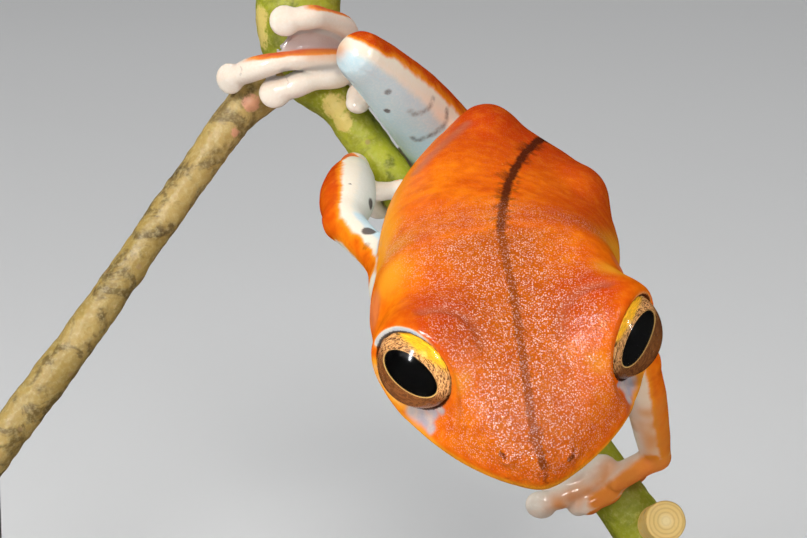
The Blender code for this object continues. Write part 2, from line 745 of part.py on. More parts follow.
make_head()
for side, sign in (("right", -1), ("left", 1)):
    axis = eye_axis(sign)
    across = unit(np.cross(axis, UP))
    node("eye_" + side, [ball("eye", eye_centre(sign), (across, np.cross(across, axis), axis),
                              (EYE_RADIUS,) * 3, 20, 10)], [], (0.03, 0.015, 0.01), 0.08)
node("torso", [torso_mesh("torso")] + sacrum(), [behind_head(JOINT_GAP), branch_cutter()], ORANGE)
for side in ("right", "left"):
    body = [torso_mesh("cut", JOINT_GAP, 24, 2)]
    head_clear = slab("clear", head_point(HEAD_BACK + 20.0 - 0.15, 0, 0), (FORWARD, LEFT, UP),
                      (20, 20, 20))
    node("upper_arm_" + side, [upper_arm(side)], body + [head_clear], PALE)
    node("forearm_" + side, [forearm(side)], [upper_arm(side, JOINT_GAP), branch_cutter()],
         ORANGE)
    build_hand(side)
    body = [torso_mesh("cut", JOINT_GAP, 24, 2)] + sacrum(JOINT_GAP)
    node("thigh_" + side, [thigh(side)], body + [branch_cutter()], ORANGE)
    node("shank_" + side, [shank(side), heel_spur(side)],
         [thigh(side, JOINT_GAP), torso_mesh("cut", JOINT_GAP, 24, 2), branch_cutter()], ORANGE)
    node("tarsus_" + side, [tarsus(side)],
         [shank(side, JOINT_GAP), heel_spur(side), thigh(side, JOINT_GAP), branch_cutter()],
         ORANGE)
    build_foot(side)

BARK = (0.22, 0.27, 0.05)
node("perch_branch", [rod_like("branch", BRANCH, 16, 3)], [], BARK, 0.6)
node("perch_twig", [rod_like("twig", TWIG, 14, 4)], [rod_like("cut", BRANCH, 16, 3, JOINT_GAP)],
     (0.16, 0.10, 0.03), 0.7)
node("perch_stub", [rod_like("stub", STUB, 14, 3)], [rod_like("cut", BRANCH, 16, 3, JOINT_GAP)],
     (0.6, 0.45, 0.15), 0.6)


def post(name, plan_point, wood):
    """Vertical rod from the base up to the underside of the wood."""
    top = plan(plan_point)
    rings = []
    for z in (BASE_SIZE[2] + 0.01, top[2]):
        ring = []
        for i in range(20):
            a = 2 * math.pi * i / 20
            ring.append((top[0] + ROD_RADIUS * math.cos(a), top[1] + ROD_RADIUS * math.sin(a), z))
        rings.append(np.array(ring))
    return node(name, [loft(name, rings)], [rod_like("cut", wood, 18, 4, 0.05)],
                (0.32, 0.33, 0.35), 0.35)


def stand_base():
    w, d, h = BASE_SIZE
    outline = []
    for cx, cy, start in ((1, 1, 0), (-1, 1, 90), (-1, -1, 180), (1, -1, 270)):
        for k in range(7):
            a = math.radians(start + 15 * k)
            outline.append((cx * (w / 2 - BASE_CORNER) + BASE_CORNER * math.cos(a),
                            cy * (d / 2 - BASE_CORNER) + BASE_CORNER * math.sin(a)))
    rings = []
    for z, shrink in ((0.0, 0.0), (h - 0.5, 0.0), (h, 0.5)):
        rings.append(np.array([(x * (1 - shrink / (w / 2)), y * (1 - shrink / (d / 2)), z)
                               for x, y in outline]))
    return node("stand_base", [loft("stand_base", rings)], [], (0.05, 0.05, 0.05), 0.4)


stand_base()
post("stand_rod_right", (15.59, -17.10, 27.2), BRANCH)
post("stand_rod_left", (-27.19, -12.91, 26.0), TWIG)
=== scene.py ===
import math

import bmesh
import bpy
import numpy as np
import openvdb as vdb
from mathutils import Matrix, Vector, noise
from mathutils.bvhtree import BVHTree


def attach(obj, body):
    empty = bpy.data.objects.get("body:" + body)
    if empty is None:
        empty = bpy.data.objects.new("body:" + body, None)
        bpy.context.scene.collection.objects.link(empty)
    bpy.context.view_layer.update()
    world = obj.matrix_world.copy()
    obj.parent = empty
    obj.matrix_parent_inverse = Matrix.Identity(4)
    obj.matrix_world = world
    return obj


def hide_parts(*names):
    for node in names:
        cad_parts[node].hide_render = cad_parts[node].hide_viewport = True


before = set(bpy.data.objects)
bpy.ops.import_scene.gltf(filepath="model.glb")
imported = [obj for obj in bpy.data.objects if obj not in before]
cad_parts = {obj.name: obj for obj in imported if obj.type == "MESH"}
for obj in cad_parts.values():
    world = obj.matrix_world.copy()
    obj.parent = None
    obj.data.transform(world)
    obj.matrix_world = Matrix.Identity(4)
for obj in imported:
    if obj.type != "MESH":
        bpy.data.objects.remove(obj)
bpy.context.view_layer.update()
scene = bpy.context.scene

# A still tree frog: one skin over its flesh, its eyes, the bark of its perch, and a studio

# Shapes are in millimetres until they become meshes; textures are scaled per millimetre
METRE = 0.001
MM = 1000.0
SIDES = {"right": -1, "left": 1}

# Sizes in millimetres, the same as in the solids
EYE_RADIUS = 2.62
LID_PLANE = 0.85
LID_FLARE = 1.15
DISC_RADIUS = 1.0
DISC_THICKNESS = 0.5
FINGER_RADIUS = 0.62
TOE_RADIUS = 0.67
GRIP_GAP = 0.05
WEB_THICKNESS = 0.34

# Lattice of the skin, and how far distances are kept on each side of it
VOXEL = 0.115
REACH = 1.0

# Fixed view, its focal length in picture points, and the plan's place in the model
VIEW_SIZE = (807, 538)
FOCAL = 3520.0
CAMERA_DISTANCE = 200.0
PLAN_TILT = math.radians(15.0)
PLAN_ORIGIN = np.array([4.5, -19.7, 39.0])

HEAD_CENTRE = (6.65, -4.5, 0.7)
HEAD_FORWARD = (0.15, -0.76, -0.64)
HEAD_LEFT = (0.985, 0.135, 0.05)
EYE_OFFSET = (0.0, 5.6, 0.0)
EYE_AXIS = {-1: (0.71, 0.65, 0.24), 1: (0.58, 0.81, 0.10)}
HEAD_BACK = -8.3
HEAD_WIDEST = -3.6
NECK_BEND = 0.8
TYMPANUM = (-5.2, 6.95, -1.2)
TYMPANUM_RADIUS = 1.25
NOSTRIL = {-1: (6.80, 2.12, -0.90), 1: (7.02, 1.82, -1.18)}


def turn(vec):
    """Turn a plan direction (right, up, back) into model axes."""
    x, y, d = vec
    s, c = math.sin(PLAN_TILT), math.cos(PLAN_TILT)
    return np.array([x, y * s + d * c, y * c - d * s])


def plan(vec):
    """Place a plan point (right, up, back) in the model, in mm."""
    return turn(vec) + PLAN_ORIGIN


def unplan(points):
    """Model points back to plan coordinates."""
    q = np.atleast_2d(points) - PLAN_ORIGIN
    s, c = math.sin(PLAN_TILT), math.cos(PLAN_TILT)
    return np.stack([q[:, 0], q[:, 1] * s + q[:, 2] * c, q[:, 1] * c - q[:, 2] * s], 1)


def unit(v):
    v = np.asarray(v, float)
    return v / np.linalg.norm(v)


def smooth(x, low, high):
    """Soft step from 0 at low to 1 at high."""
    t = np.clip((x - low) / (high - low), 0.0, 1.0)
    return t * t * (3.0 - 2.0 * t)


def fade(x, low, high):
    """Soft step from 1 at low to 0 at high."""
    return 1.0 - smooth(x, low, high)


def curve(points, per_span):
    """Catmull-Rom curve through rows of numbers."""
    pts = np.asarray(points, float)
    ext = np.vstack([2 * pts[0] - pts[1], pts, 2 * pts[-1] - pts[-2]])
    out = []
    for i in range(1, len(ext) - 2):
        a, b, c, d = ext[i - 1], ext[i], ext[i + 1], ext[i + 2]
        for k in range(per_span):
            t = k / per_span
            out.append(0.5 * (2 * b + (c - a) * t + (2 * a - 5 * b + 4 * c - d) * t * t
                              + (3 * b - a - 3 * c + d) * t ** 3))
    out.append(pts[-1])
    return np.array(out)


def carried_frames(path, hint):
    """Side and up directions carried along a path without twist."""
    tangents = np.gradient(path, axis=0)
    tangents /= np.linalg.norm(tangents, axis=1)[:, None]
    side = unit(np.cross(tangents[0], hint))
    frames = []
    for t in tangents:
        side = unit(side - t * side.dot(t))
        frames.append((side, np.cross(side, t), t))
    return frames


def course(stations, per_span):
    """Curve through plan points, with the numbers that each one carries."""
    return curve([[*plan(point), *numbers] for point, *numbers in stations], per_span)


def circle(sides):
    """Cosines and sines round a circle."""
    angle = np.arange(sides) * 2 * math.pi / sides
    return np.cos(angle), np.sin(angle)


def bands(count, n):
    """Quads between neighbouring rings of n points."""
    i = np.arange(n)
    j = (i + 1) % n
    return np.vstack([np.stack([k * n + i, k * n + j, (k + 1) * n + j, (k + 1) * n + i], 1)
                      for k in range(count - 1)])


def loft(rings):
    """Quads between closed rings, and a fan over each end."""
    n = len(rings[0])
    verts = np.vstack(rings)
    i = np.arange(n)
    tris = []
    for k in (0, len(rings) - 1):
        tris.append(np.stack([k * n + i, k * n + (i + 1) % n, np.full(n, len(verts))], 1))
        verts = np.vstack([verts, rings[k].mean(axis=0)])
    return verts, bands(len(rings), n), np.vstack(tris)


# A lattice of signed distances, in mm, in which the flesh is built up and carved
LOW = np.array([-9.0, -27.5, 14.5])
HIGH = np.array([22.5, 28.5, 50.5])
FIRST = np.floor(LOW / VOXEL).astype(int)
SHAPE = np.ceil(HIGH / VOXEL).astype(int) - FIRST
space = np.full(SHAPE, REACH * 1.5, np.float32)


def cell_box(low, high):
    a = np.maximum(np.floor(np.asarray(low) / VOXEL).astype(int), FIRST)
    b = np.minimum(np.ceil(np.asarray(high) / VOXEL).astype(int), FIRST + SHAPE)
    return a, b


def region(a, b):
    a, b = a - FIRST, b - FIRST
    return tuple(slice(int(i), int(j)) for i, j in zip(a, b))


def lattice(a, b):
    """Coordinates of the lattice points of a box, as three open arrays."""
    axes = [np.arange(i, j, dtype=np.float32) * VOXEL for i, j in zip(a, b)]
    return np.ix_(*axes)


def mesh_distance(mesh):
    """Signed distance to a closed mesh on its own box of the lattice."""
    verts, quads, tris = mesh
    a, b = cell_box(verts.min(0) - REACH, verts.max(0) + REACH)
    transform = vdb.createLinearTransform(voxelSize=VOXEL)
    grid = vdb.FloatGrid.createLevelSetFromPolygons(
        verts.astype(np.float32), triangles=tris.astype(np.uint32),
        quads=quads.astype(np.uint32), transform=transform, halfWidth=REACH / VOXEL)
    values = np.empty(b - a, np.float32)
    grid.copyToArray(values, ijk=tuple(int(i) for i in a))
    return values, a, b


def merge(field, blend):
    """Add a shape, filleted over the given width."""
    values, a, b = field
    box = region(a, b)
    old = space[box]
    h = np.clip(0.5 + 0.5 * (values - old) / blend, 0.0, 1.0)
    space[box] = values + (old - values) * h - blend * h * (1.0 - h)


def carve(field, blend):
    """Take a shape away, with an edge rounded over the given width."""
    values, a, b = field
    box = region(a, b)
    old = space[box]
    h = np.clip(0.5 + 0.5 * (old + values) / blend, 0.0, 1.0)
    space[box] = -values + (old + values) * h + blend * h * (1.0 - h)


def blur(low, high, sigma, fade=0.0):
    """Soften the lattice inside a box, less toward its sides where a fade is given."""
    a, b = cell_box(low, high)
    box = region(a, b)
    part = space[box].copy()
    reach = max(int(math.ceil(2.5 * sigma / VOXEL)), 1)
    taps = np.exp(-0.5 * (np.arange(-reach, reach + 1) * VOXEL / sigma) ** 2)
    taps /= taps.sum()
    for axis in range(3):
        pad = [(0, 0)] * 3
        pad[axis] = (reach, reach)
        wide = np.pad(part, pad, mode="edge")
        total = np.zeros_like(part)
        for k, tap in enumerate(taps):
            cut = [slice(None)] * 3
            cut[axis] = slice(k, k + part.shape[axis])
            total += np.float32(tap) * wide[tuple(cut)]
        part = total
    if fade > 0.0:
        inward = [np.minimum(np.arange(n), np.arange(n)[::-1]) * VOXEL for n in part.shape]
        wx, wy, wz = np.ix_(*[smooth(d, 0.0, fade).astype(np.float32) for d in inward])
        weight = wx * wy * wz
        part = space[box] + (part - space[box]) * weight
    space[box] = part


def around(centre, reach):
    """Offsets of the lattice points near a centre, and their box."""
    a, b = cell_box(centre - reach, centre + reach)
    return [c - m for c, m in zip(lattice(a, b), centre)], a, b


def ellipsoid(centre, axes, radii):
    """Near-distance to an ellipsoid given by three axis directions."""
    (x, y, z), a, b = around(np.asarray(centre, float), max(radii) + REACH)
    near = np.zeros(b - a, np.float32)
    slope = np.zeros(b - a, np.float32)
    for axis, r in zip(axes, radii):
        axis = unit(axis)
        c = (x * axis[0] + y * axis[1] + z * axis[2]).astype(np.float32)
        near += (c / r) ** 2
        slope += (c / (r * r)) ** 2
    near, slope = np.sqrt(near), np.sqrt(slope)
    return near * (near - 1.0) / np.maximum(slope, 1e-4), a, b


def string(points, radii):
    """Distance to a chain of rounded segments with changing radius."""
    points = np.asarray(points, float)
    radii = np.broadcast_to(np.asarray(radii, float), (len(points),))
    reach = radii.max() + REACH
    a, b = cell_box(points.min(0) - reach, points.max(0) + reach)
    x, y, z = lattice(a, b)
    best = np.full(b - a, 9.0, np.float32)
    for p, q, r0, r1 in zip(points[:-1], points[1:], radii[:-1], radii[1:]):
        run = q - p
        length2 = float(run.dot(run)) + 1e-9
        t = ((x - p[0]) * run[0] + (y - p[1]) * run[1] + (z - p[2]) * run[2]) / length2
        t = np.clip(t, 0.0, 1.0).astype(np.float32)
        d = np.sqrt((x - p[0] - t * run[0]) ** 2 + (y - p[1] - t * run[1]) ** 2
                    + (z - p[2] - t * run[2]) ** 2)
        best = np.minimum(best, d - (r0 + (r1 - r0) * t))
    return best.astype(np.float32), a, b


def hoop(centre, axis, major, minor):
    """Distance to a torus."""
    axis = unit(axis)
    (x, y, z), a, b = around(np.asarray(centre, float), major + minor + REACH)
    high = x * axis[0] + y * axis[1] + z * axis[2]
    out = np.sqrt(np.maximum(x * x + y * y + z * z - high * high, 0.0)) - major
    return (np.sqrt(out * out + high * high) - minor).astype(np.float32), a, b


# Head
FORWARD = unit(turn(HEAD_FORWARD))
LEFT = turn(HEAD_LEFT)
LEFT = unit(LEFT - FORWARD * LEFT.dot(FORWARD))
UP = np.cross(FORWARD, LEFT)


def head_point(x, y, z):
    return plan(HEAD_CENTRE) + FORWARD * x + LEFT * y + UP * z


def head_dir(x, y, z):
    return FORWARD * x + LEFT * y + UP * z


def head_coordinates(points):
    q = np.atleast_2d(points) - plan(HEAD_CENTRE)
    return q @ FORWARD, q @ LEFT, q @ UP


def lip_height(x):
    return -3.45 + 0.035 * x


def canthus_height(x):
    return 0.85 - 0.034 * np.maximum(x, 0.0) ** 2


def crown_height(x):
    return 1.85 - 0.045 * np.maximum(x, 0.0) ** 2 - 0.021 * np.maximum(-x - 3.0, 0.0) ** 2


# Plan outlines from throat to crown: half width, tip, share of throat, lip, canthus and crown
HEAD_LEVELS = (
    (2.6, 3.9, -5.45, 0.0, 0.0, 0.0),
    (5.0, 5.3, -5.25, 0.0, 0.0, 0.0),
    (6.7, 6.25, -4.7, 0.0, 0.0, 0.0),
    (7.5, 7.2, -0.65, 1.0, 0.0, 0.0),
    (7.98, 7.98, 0.0, 1.0, 0.0, 0.0),
    (8.15, 8.15, 0.5, 1.0, 0.0, 0.0),
    (7.8, 8.08, 0.0, 0.55, 0.45, 0.0),
    (7.2, 7.95, 0.0, 0.25, 0.75, 0.0),
    (6.5, 7.75, 0.0, 0.0, 1.0, 0.0),
    (5.6, 7.3, 0.0, 0.0, 0.45, 0.55),
    (4.0, 6.6, 0.0, 0.0, 0.1, 0.9),
    (2.0, 5.6, 0.06, 0.0, 0.0, 1.0),
)


def neck_shift(x):
    """The back of the head leans to the right, as the head is turned to the left."""
    return -NECK_BEND * smooth(x, -1.0, HEAD_BACK)


def head_outline(half, tip, count=30):
    """Right rear corner, round the snout, to the left rear corner."""
    xs, ys = [], []
    for i in range(8):
        t = i / 8
        xs.append(HEAD_BACK + (HEAD_WIDEST - HEAD_BACK) * t)
        ys.append(half * (0.87 + 0.13 * math.sin(0.5 * math.pi * t)))
    for i in range(count):
        a = 0.5 * math.pi * i / count
        xs.append(HEAD_WIDEST + (tip - HEAD_WIDEST) * math.sin(a))
        ys.append(half * math.cos(a) ** 1.47)
    xs, ys = np.array(xs), np.array(ys)
    shift = neck_shift(xs)
    right = np.stack([xs, shift - ys], 1)
    left = np.stack([xs, shift + ys], 1)[::-1]
    return np.vstack([right, [(tip, 0.0)], left])


def skull():
    rings = []
    for half, tip, extra, lip, canthus, crown in curve(HEAD_LEVELS, 4):
        flat = head_outline(half, tip)
        x = flat[:, 0]
        z = extra + lip * lip_height(x) + canthus * canthus_height(x) + crown * crown_height(x)
        rings.append(np.array([head_point(a, b, c) for (a, b), c in zip(flat, z)]))
    n = len(rings[0])
    tris = []
    for k in (0, len(rings) - 1):
        for i in range((n - 1) // 2):
            a, b = k * n + i, k * n + i + 1
            c, d = k * n + n - 2 - i, k * n + n - 1 - i
            tris.append((a, b, d))
            if b != c:
                tris.append((b, c, d))
    return np.vstack(rings), bands(len(rings), n), np.array(tris)


def eye_centre(side):
    x, y, z = EYE_OFFSET
    return head_point(x, y * side, z)


def eye_axis(side):
    x, y, z = EYE_AXIS[side]
    return unit(head_dir(x, y * side, z))


# Ends of the sacrum, which show as two low knobs on the back, and their radii
SACRUM = (((5.37, 8.85, 21.0), 1.35), ((10.99, 4.83, 18.0), 1.3))

# Trunk: centre, left direction, half width, height above, depth below, squareness
TRUNK = (
    ((6.2, -5.6, 1.2), (0.985, 0.135, 0.05), 6.2, 2.6, 2.8, 2.3),
    ((5.9, -4.4, 2.6), (0.985, 0.135, 0.05), 6.6, 3.3, 3.3, 2.3),
    ((5.55, -1.3, 5.9), (0.985, 0.12, 0.05), 6.95, 3.7, 3.9, 2.3),
    ((5.6, -0.35, 9.4), (0.995, 0.0, 0.0), 7.2, 4.5, 4.6, 2.3),
    ((5.8, 0.9, 12.8), (0.985, -0.16, 0.0), 7.3, 4.4, 5.0, 2.4),
    ((6.1, 1.9, 15.4), (0.96, -0.28, 0.0), 7.2, 4.4, 5.0, 2.5),
    ((6.4, 3.0, 17.6), (0.92, -0.39, 0.0), 6.8, 4.2, 4.8, 2.7),
    ((6.8, 4.2, 19.9), (0.88, -0.47, 0.0), 6.2, 3.9, 4.4, 2.9),
    ((7.2, 5.0, 22.4), (0.85, -0.53, 0.0), 5.6, 3.6, 4.0, 3.0),
    ((7.3, 4.7, 27.0), (0.84, -0.54, 0.0), 4.6, 3.0, 3.5, 2.6),
    ((7.0, 3.7, 31.5), (0.84, -0.54, 0.0), 3.9, 2.5, 3.0, 2.3),
    ((6.8, 3.0, 35.6), (0.84, -0.54, 0.0), 2.2, 1.5, 1.8, 2.1),
)


def trunk_rows(per_span):
    rows = curve([[*plan(centre), *turn(left), *sizes] for centre, left, *sizes in TRUNK],
                 per_span)
    tangents = np.gradient(rows[:, :3], axis=0)
    frames = []
    for row, tangent in zip(rows, tangents):
        back = unit(tangent)
        left = unit(row[3:6] - back * back.dot(row[3:6]))
        frames.append((left, np.cross(-back, left), back))
    return rows, frames


def trunk():
    rows, frames = trunk_rows(6)
    rings = []
    c, s = circle(72)
    for row, (left, up, back) in zip(rows, frames):
        power = 2.0 / row[9]
        y = row[6] * np.sign(c) * abs(c) ** power
        z = np.where(s > 0, row[7], row[8]) * np.sign(s) * abs(s) ** power
        rings.append(row[:3] + np.outer(y, left) + np.outer(z, up))
    middle = rings[-1].mean(axis=0)
    back = frames[-1][2]
    rings.append(middle + (rings[-1] - middle) * 0.6 + back * 0.9)
    rings.append(middle + (rings[-1] - middle) * 0.4 + back * 1.1)
    return loft(rings)


# Perch: centre line and radius
BRANCH = (
    ((-6.76, 18.04, 27.6), 2.8),
    ((-6.82, 15.45, 27.6), 2.65),
    ((-6.17, 13.00, 27.6), 2.25),
    ((-4.04, 10.47, 27.4), 1.46),
    ((-0.61, 5.74, 27.2), 1.42),
    ((3.32, -0.06, 27.2), 1.46),
    ((7.52, -5.87, 27.2), 1.55),
    ((11.71, -11.68, 27.2), 1.78),
    ((16.23, -18.01, 27.2), 1.85),
)
TWIG = (
    ((-6.82, 13.38, 27.6), 1.6),
    ((-10.36, 10.33, 27.3), 1.32),
    ((-12.66, 7.28, 26.8), 1.2),
    ((-17.90, -0.26, 26.2), 1.17),
    ((-22.05, -6.10, 26.0), 1.25),
    ((-27.96, -13.93, 26.0), 1.35),
)
STUB = (
    ((15.90, -16.70, 27.0), 1.2),
    ((16.33, -16.24, 25.0), 1.28),
    ((16.66, -15.99, 23.4), 1.34),
)


def branch_at(s):
    """Centre, direction and radius of the branch at a station number."""
    rows = course(BRANCH, 20)
    k = min(int(round(s * 20)), len(rows) - 2)
    return rows[k, :3], unit(rows[k + 1, :3] - rows[max(k - 1, 0), :3]), rows[k, 3]


def grip(s, degrees, lift):
    """Plan point on the branch skin: 0 faces the front, 90 the right-hand side."""
    centre, along, radius = branch_at(s)
    front = turn((0, 0, -1))
    front = unit(front - along * along.dot(front))
    right = unit(np.cross(along, front))
    if right[0] < 0:
        right = -right
    a = math.radians(degrees)
    spot = centre + (front * math.cos(a) + right * math.sin(a)) * (radius + lift)
    return tuple(unplan(spot)[0])


def between(a, b, f, shift=(0, 0, 0)):
    return tuple(np.asarray(a) + (np.asarray(b) - np.asarray(a)) * f + np.asarray(shift))


# Kept for the markings: the points of each web, and the name, path and radii of each part
# that has a centre line
sheets, lines = [], []

# Limb joints in the plan
SHOULDER = {"right": (-0.6, -1.5, 9.8), "left": (11.9, -1.9, 10.0)}
ELBOW = {"right": (-3.76, 2.98, 18.6), "left": (14.61, -5.75, 17.5)}
WRIST = {"right": (-3.17, 6.53, 25.2), "left": (16.10, -11.98, 24.4)}
HIP = {"right": (4.9, 5.5, 32.0), "left": (9.2, 2.3, 32.3)}
KNEE = {"right": (-2.59, 13.25, 20.0), "left": (13.84, -2.75, 48.0)}
HEEL = {"right": (5.60, 8.04, 42.0), "left": (0.57, -0.07, 34.5)}
INSTEP = {"right": (-0.37, 12.38, 35.5), "left": (4.89, -6.50, 31.2)}


def limb(stations):
    """A limb of round or flattened section; a station is point, width, thickness."""
    rows = course([(p, sizes[0], sizes[-1]) for p, *sizes in stations], 10)
    frames = carried_frames(rows[:, :3], np.array([0.0, 0.0, 1.0]))
    c, s = circle(28)

    def ring(k, lean=1.0, push=0.0):
        side, up, along = frames[k]
        return (rows[k, :3] + along * push + np.outer(c, side) * (rows[k, 3] * lean)
                + np.outer(s, up) * (rows[k, 4] * lean))

    def cap(k, sign):
        """Rounded end, from its tip inward."""
        return [ring(k, math.cos(a), sign * math.sin(a) * min(rows[k, 3:]))
                for a in np.array([0.95, 0.8, 0.6, 0.3]) * math.pi / 2]

    middle = [ring(k) for k in range(len(rows))]
    return loft(cap(0, -1) + middle + cap(-1, 1)[::-1])


def upper_arm(side):
    a, b = SHOULDER[side], ELBOW[side]
    bow = {"right": (0.75, -0.3, 0.0), "left": (0.0, 0.0, 0.0)}[side]
    return [(between(a, b, -0.25), 1.4), (a, 1.35), (between(a, b, 0.5, bow), 1.02), (b, 1.2)]


def forearm(side):
    a, b = ELBOW[side], WRIST[side]
    wide = {"right": 1.75, "left": 1.3}[side]
    return [(a, 1.2), (between(a, b, 0.35), wide), (between(a, b, 0.7), wide * 0.9),
            (b, 0.95, 0.85)]


def thigh(side):
    a, b = HIP[side], KNEE[side]
    bow = np.array({"right": (0.35, 0.15, 0.0), "left": (0.2, 0.3, 0.0)}[side])
    return [(a, 2.0), (between(a, b, 0.3, bow * 0.6), 2.5), (between(a, b, 0.62, bow), 2.3),
            (between(a, b, 0.86, bow * 0.6), 1.9), (b, 1.6)]


def shank(side):
    a, b = KNEE[side], HEEL[side]
    return [(a, 1.4), (between(a, b, 0.3), 1.85), (between(a, b, 0.7), 1.4), (b, 1.15)]


def tarsus(side):
    a, b = HEEL[side], INSTEP[side]
    return [(a, 1.0, 0.9), (between(a, b, 0.5), 0.95, 0.8), (b, 1.1, 0.75)]


def heel_spur(side):
    a, b = np.asarray(KNEE[side]), np.asarray(HEEL[side])
    out = (b - a) / np.linalg.norm(b - a)
    return [(tuple(b - out * 0.4), 0.85, 0.5), (tuple(b + out * 1.4), 0.6, 0.35),
            (tuple(b + out * 2.6), 0.24, 0.16)]


def grips(lift, *places):
    """Plan points over the branch from pairs of station number and degrees."""
    return [grip(s, degrees, lift) for s, degrees in places]


# Hands and feet: the palm, and each digit from its root to its tip, inner digit first
FINGER_LIFT = FINGER_RADIUS + GRIP_GAP
TOE_LIFT = TOE_RADIUS + GRIP_GAP
PALM = {"right": grip(3.88, -62, 0.95), "left": (13.64, -13.35, 24.9)}
FINGERS = {
    "right": [
        grips(FINGER_LIFT, (3.98, -42), (4.08, -10), (4.18, 14)),
        grips(FINGER_LIFT, (4.02, -70), (4.15, -110), (4.22, -158), (4.25, -190)),
        grips(FINGER_LIFT, (3.9, -80), (3.93, -130), (3.92, -170), (3.9, -215)),
        grips(FINGER_LIFT, (3.8, -80), (3.75, -125), (3.66, -168)),
    ],
    "left": [
        [(12.81, -12.46, 24.9), (11.18, -13.01, 25.6), (9.94, -13.64, 26.4)],
        [(12.81, -13.48, 24.9), (11.06, -14.29, 25.6), (9.16, -15.04, 26.3)],
        [(13.32, -14.25, 24.9), (12.19, -14.91, 25.3), (11.33, -15.15, 26.0)],
        grips(FINGER_LIFT, (7.35, 55), (7.4, 110), (7.45, 165)),
    ],
}
TOES = {
    "right": [
        [(-3.03, 12.71, 29.5), (-2.86, 11.65, 26.6), (-2.91, 10.67, 24.9)],
        [(-3.36, 12.71, 29.5), (-4.12, 12.12, 28.2), (-5.50, 12.04, 26.6)],
        [(-3.48, 13.09, 29.2), (-4.08, 12.33, 26.0), (-6.09, 11.93, 24.6), (-7.88, 11.36, 24.6)],
        [(-3.61, 13.47, 29.0), (-4.71, 13.38, 25.4), (-7.34, 13.21, 23.6), (-9.51, 12.73, 24.0),
         (-10.83, 12.27, 24.9)],
        [(-3.35, 14.12, 29.0), (-3.70, 15.51, 26.6), (-5.32, 16.05, 24.2), (-7.20, 15.80, 23.4)],
    ],
    "left": [grips(1.2, places[0]) + grips(TOE_LIFT, *places[1:]) for places in (
        ((5.45, -150), (5.30, -110), (5.25, -62)),
        ((5.55, -150), (5.55, -105), (5.57, -48)),
        ((5.65, -155), (5.85, -120), (5.95, -60), (6.00, -15)),
        ((5.65, -160), (6.00, -170), (6.30, -200), (6.45, -250), (6.50, -295)),
        ((5.55, -170), (5.75, -200), (5.90, -240), (5.95, -285)))],
}
# Branch stations that the hands and the left foot hold
HAND_STATION = {"right": 3.9, "left": 7.2}
FOOT_STATION = 5.75


def off_branch(s, point):
    """Direction from the branch's centre line at a station to a plan point."""
    centre, along, _ = branch_at(s)
    away = plan(point) - centre
    return away - along * along.dot(away)


def web(first, second, reach, hollow=0.85):
    """Webbing between two digits, scalloped toward its free edge."""
    a = curve([plan(p) for p in first], 12)
    b = curve([plan(p) for p in second], 12)
    count, wide = 14, 12
    rows = []
    for i in range(count):
        f = 0.1 + (reach - 0.1) * i / (count - 1)
        p, q = (path[min(int(f * (len(path) - 1)), len(path) - 1)] for path in (a, b))
        rows.append([p + (q - p) * k / (wide - 1) for k in range(wide)])
    rows = np.array(rows)
    sheets.append(rows)
    back = np.sin(np.linspace(0, math.pi, wide))[:, None] * hollow
    for i in range(1, count):
        rows[i] += (rows[max(i - 4, 0)] - rows[i]) * back * (i / (count - 1))
    across = rows[-1, -1] - rows[-1, 0]
    half = unit(np.cross(across, rows[-1].mean(axis=0) - rows[0].mean(axis=0))) * WEB_THICKNESS / 2
    at = np.arange(count * wide).reshape(count, wide)
    top = np.stack([at[:-1, :-1], at[:-1, 1:], at[1:, 1:], at[1:, :-1]], -1).reshape(-1, 4)
    rim = np.concatenate([at[0], at[1:, -1], at[-1, -2::-1], at[-2:0:-1, 0]])
    after, low = np.roll(rim, -1), at.size
    quads = [top, top[:, ::-1] + low, np.stack([after, rim, rim + low, after + low], 1)]
    verts = [(rows + half).reshape(-1, 3), (rows - half).reshape(-1, 3)]
    return np.vstack(verts), np.vstack(quads), np.zeros((0, 3), int)


def add_limb(name, stations, blend):
    merge(mesh_distance(limb(stations)), blend)
    rows = course([row[:2] for row in stations], 6)
    lines.append((name, rows[:, :3], rows[:, 3]))


def add_digit(name, points, radius, normal, disc):
    """Finger or toe with its joint swellings and a flattened disc."""
    path = curve([plan(p) for p in points], 6)
    f = np.linspace(0.0, 1.0, len(path))
    radii = radius * (1.05 - 0.1 * smooth(f, 0.0, 0.5) + 0.16 * smooth(f, 0.5, 0.8))
    radii = radii * (1.0 + 0.07 * np.cos(f * 2 * math.pi * 2.5))
    merge(string(path, radii), 0.3)
    end = path[-1]
    along = unit(path[-1] - path[-3])
    normal = np.asarray(normal, float)
    normal = unit(normal - along * along.dot(normal))
    side = np.cross(normal, along)
    centre = end + along * disc * 0.35
    merge(ellipsoid(centre, (along, side, normal), (disc * 1.02, disc, DISC_THICKNESS * 1.1)), 0.22)
    lines.append((name, path, np.full(len(path), radius)))
    lines.append((name + "_disc", np.array([end, centre + along * disc * 0.5]),
                  np.full(2, disc * 0.6)))


def build_hand(side):
    palm = PALM[side]
    fingers = [[palm] + points for points in FINGERS[side]]
    wide = {"right": 1.35, "left": 1.6}[side]
    add_limb("palm_" + side, [(WRIST[side], 0.85, 0.8),
                              (between(WRIST[side], palm, 0.55), 1.15, 0.8),
                              (palm, wide, 0.78)], 0.4)
    for k, points in enumerate(fingers):
        add_digit("finger_" + side, points, FINGER_RADIUS,
                  off_branch(HAND_STATION[side], points[-1]),
                  DISC_RADIUS * (0.7 if side == "left" and k == 2 else 1.0))
    for first, second in zip(fingers[:-1], fingers[1:]):
        merge(mesh_distance(web(first[:3], second[:3], 0.75)), 0.25)


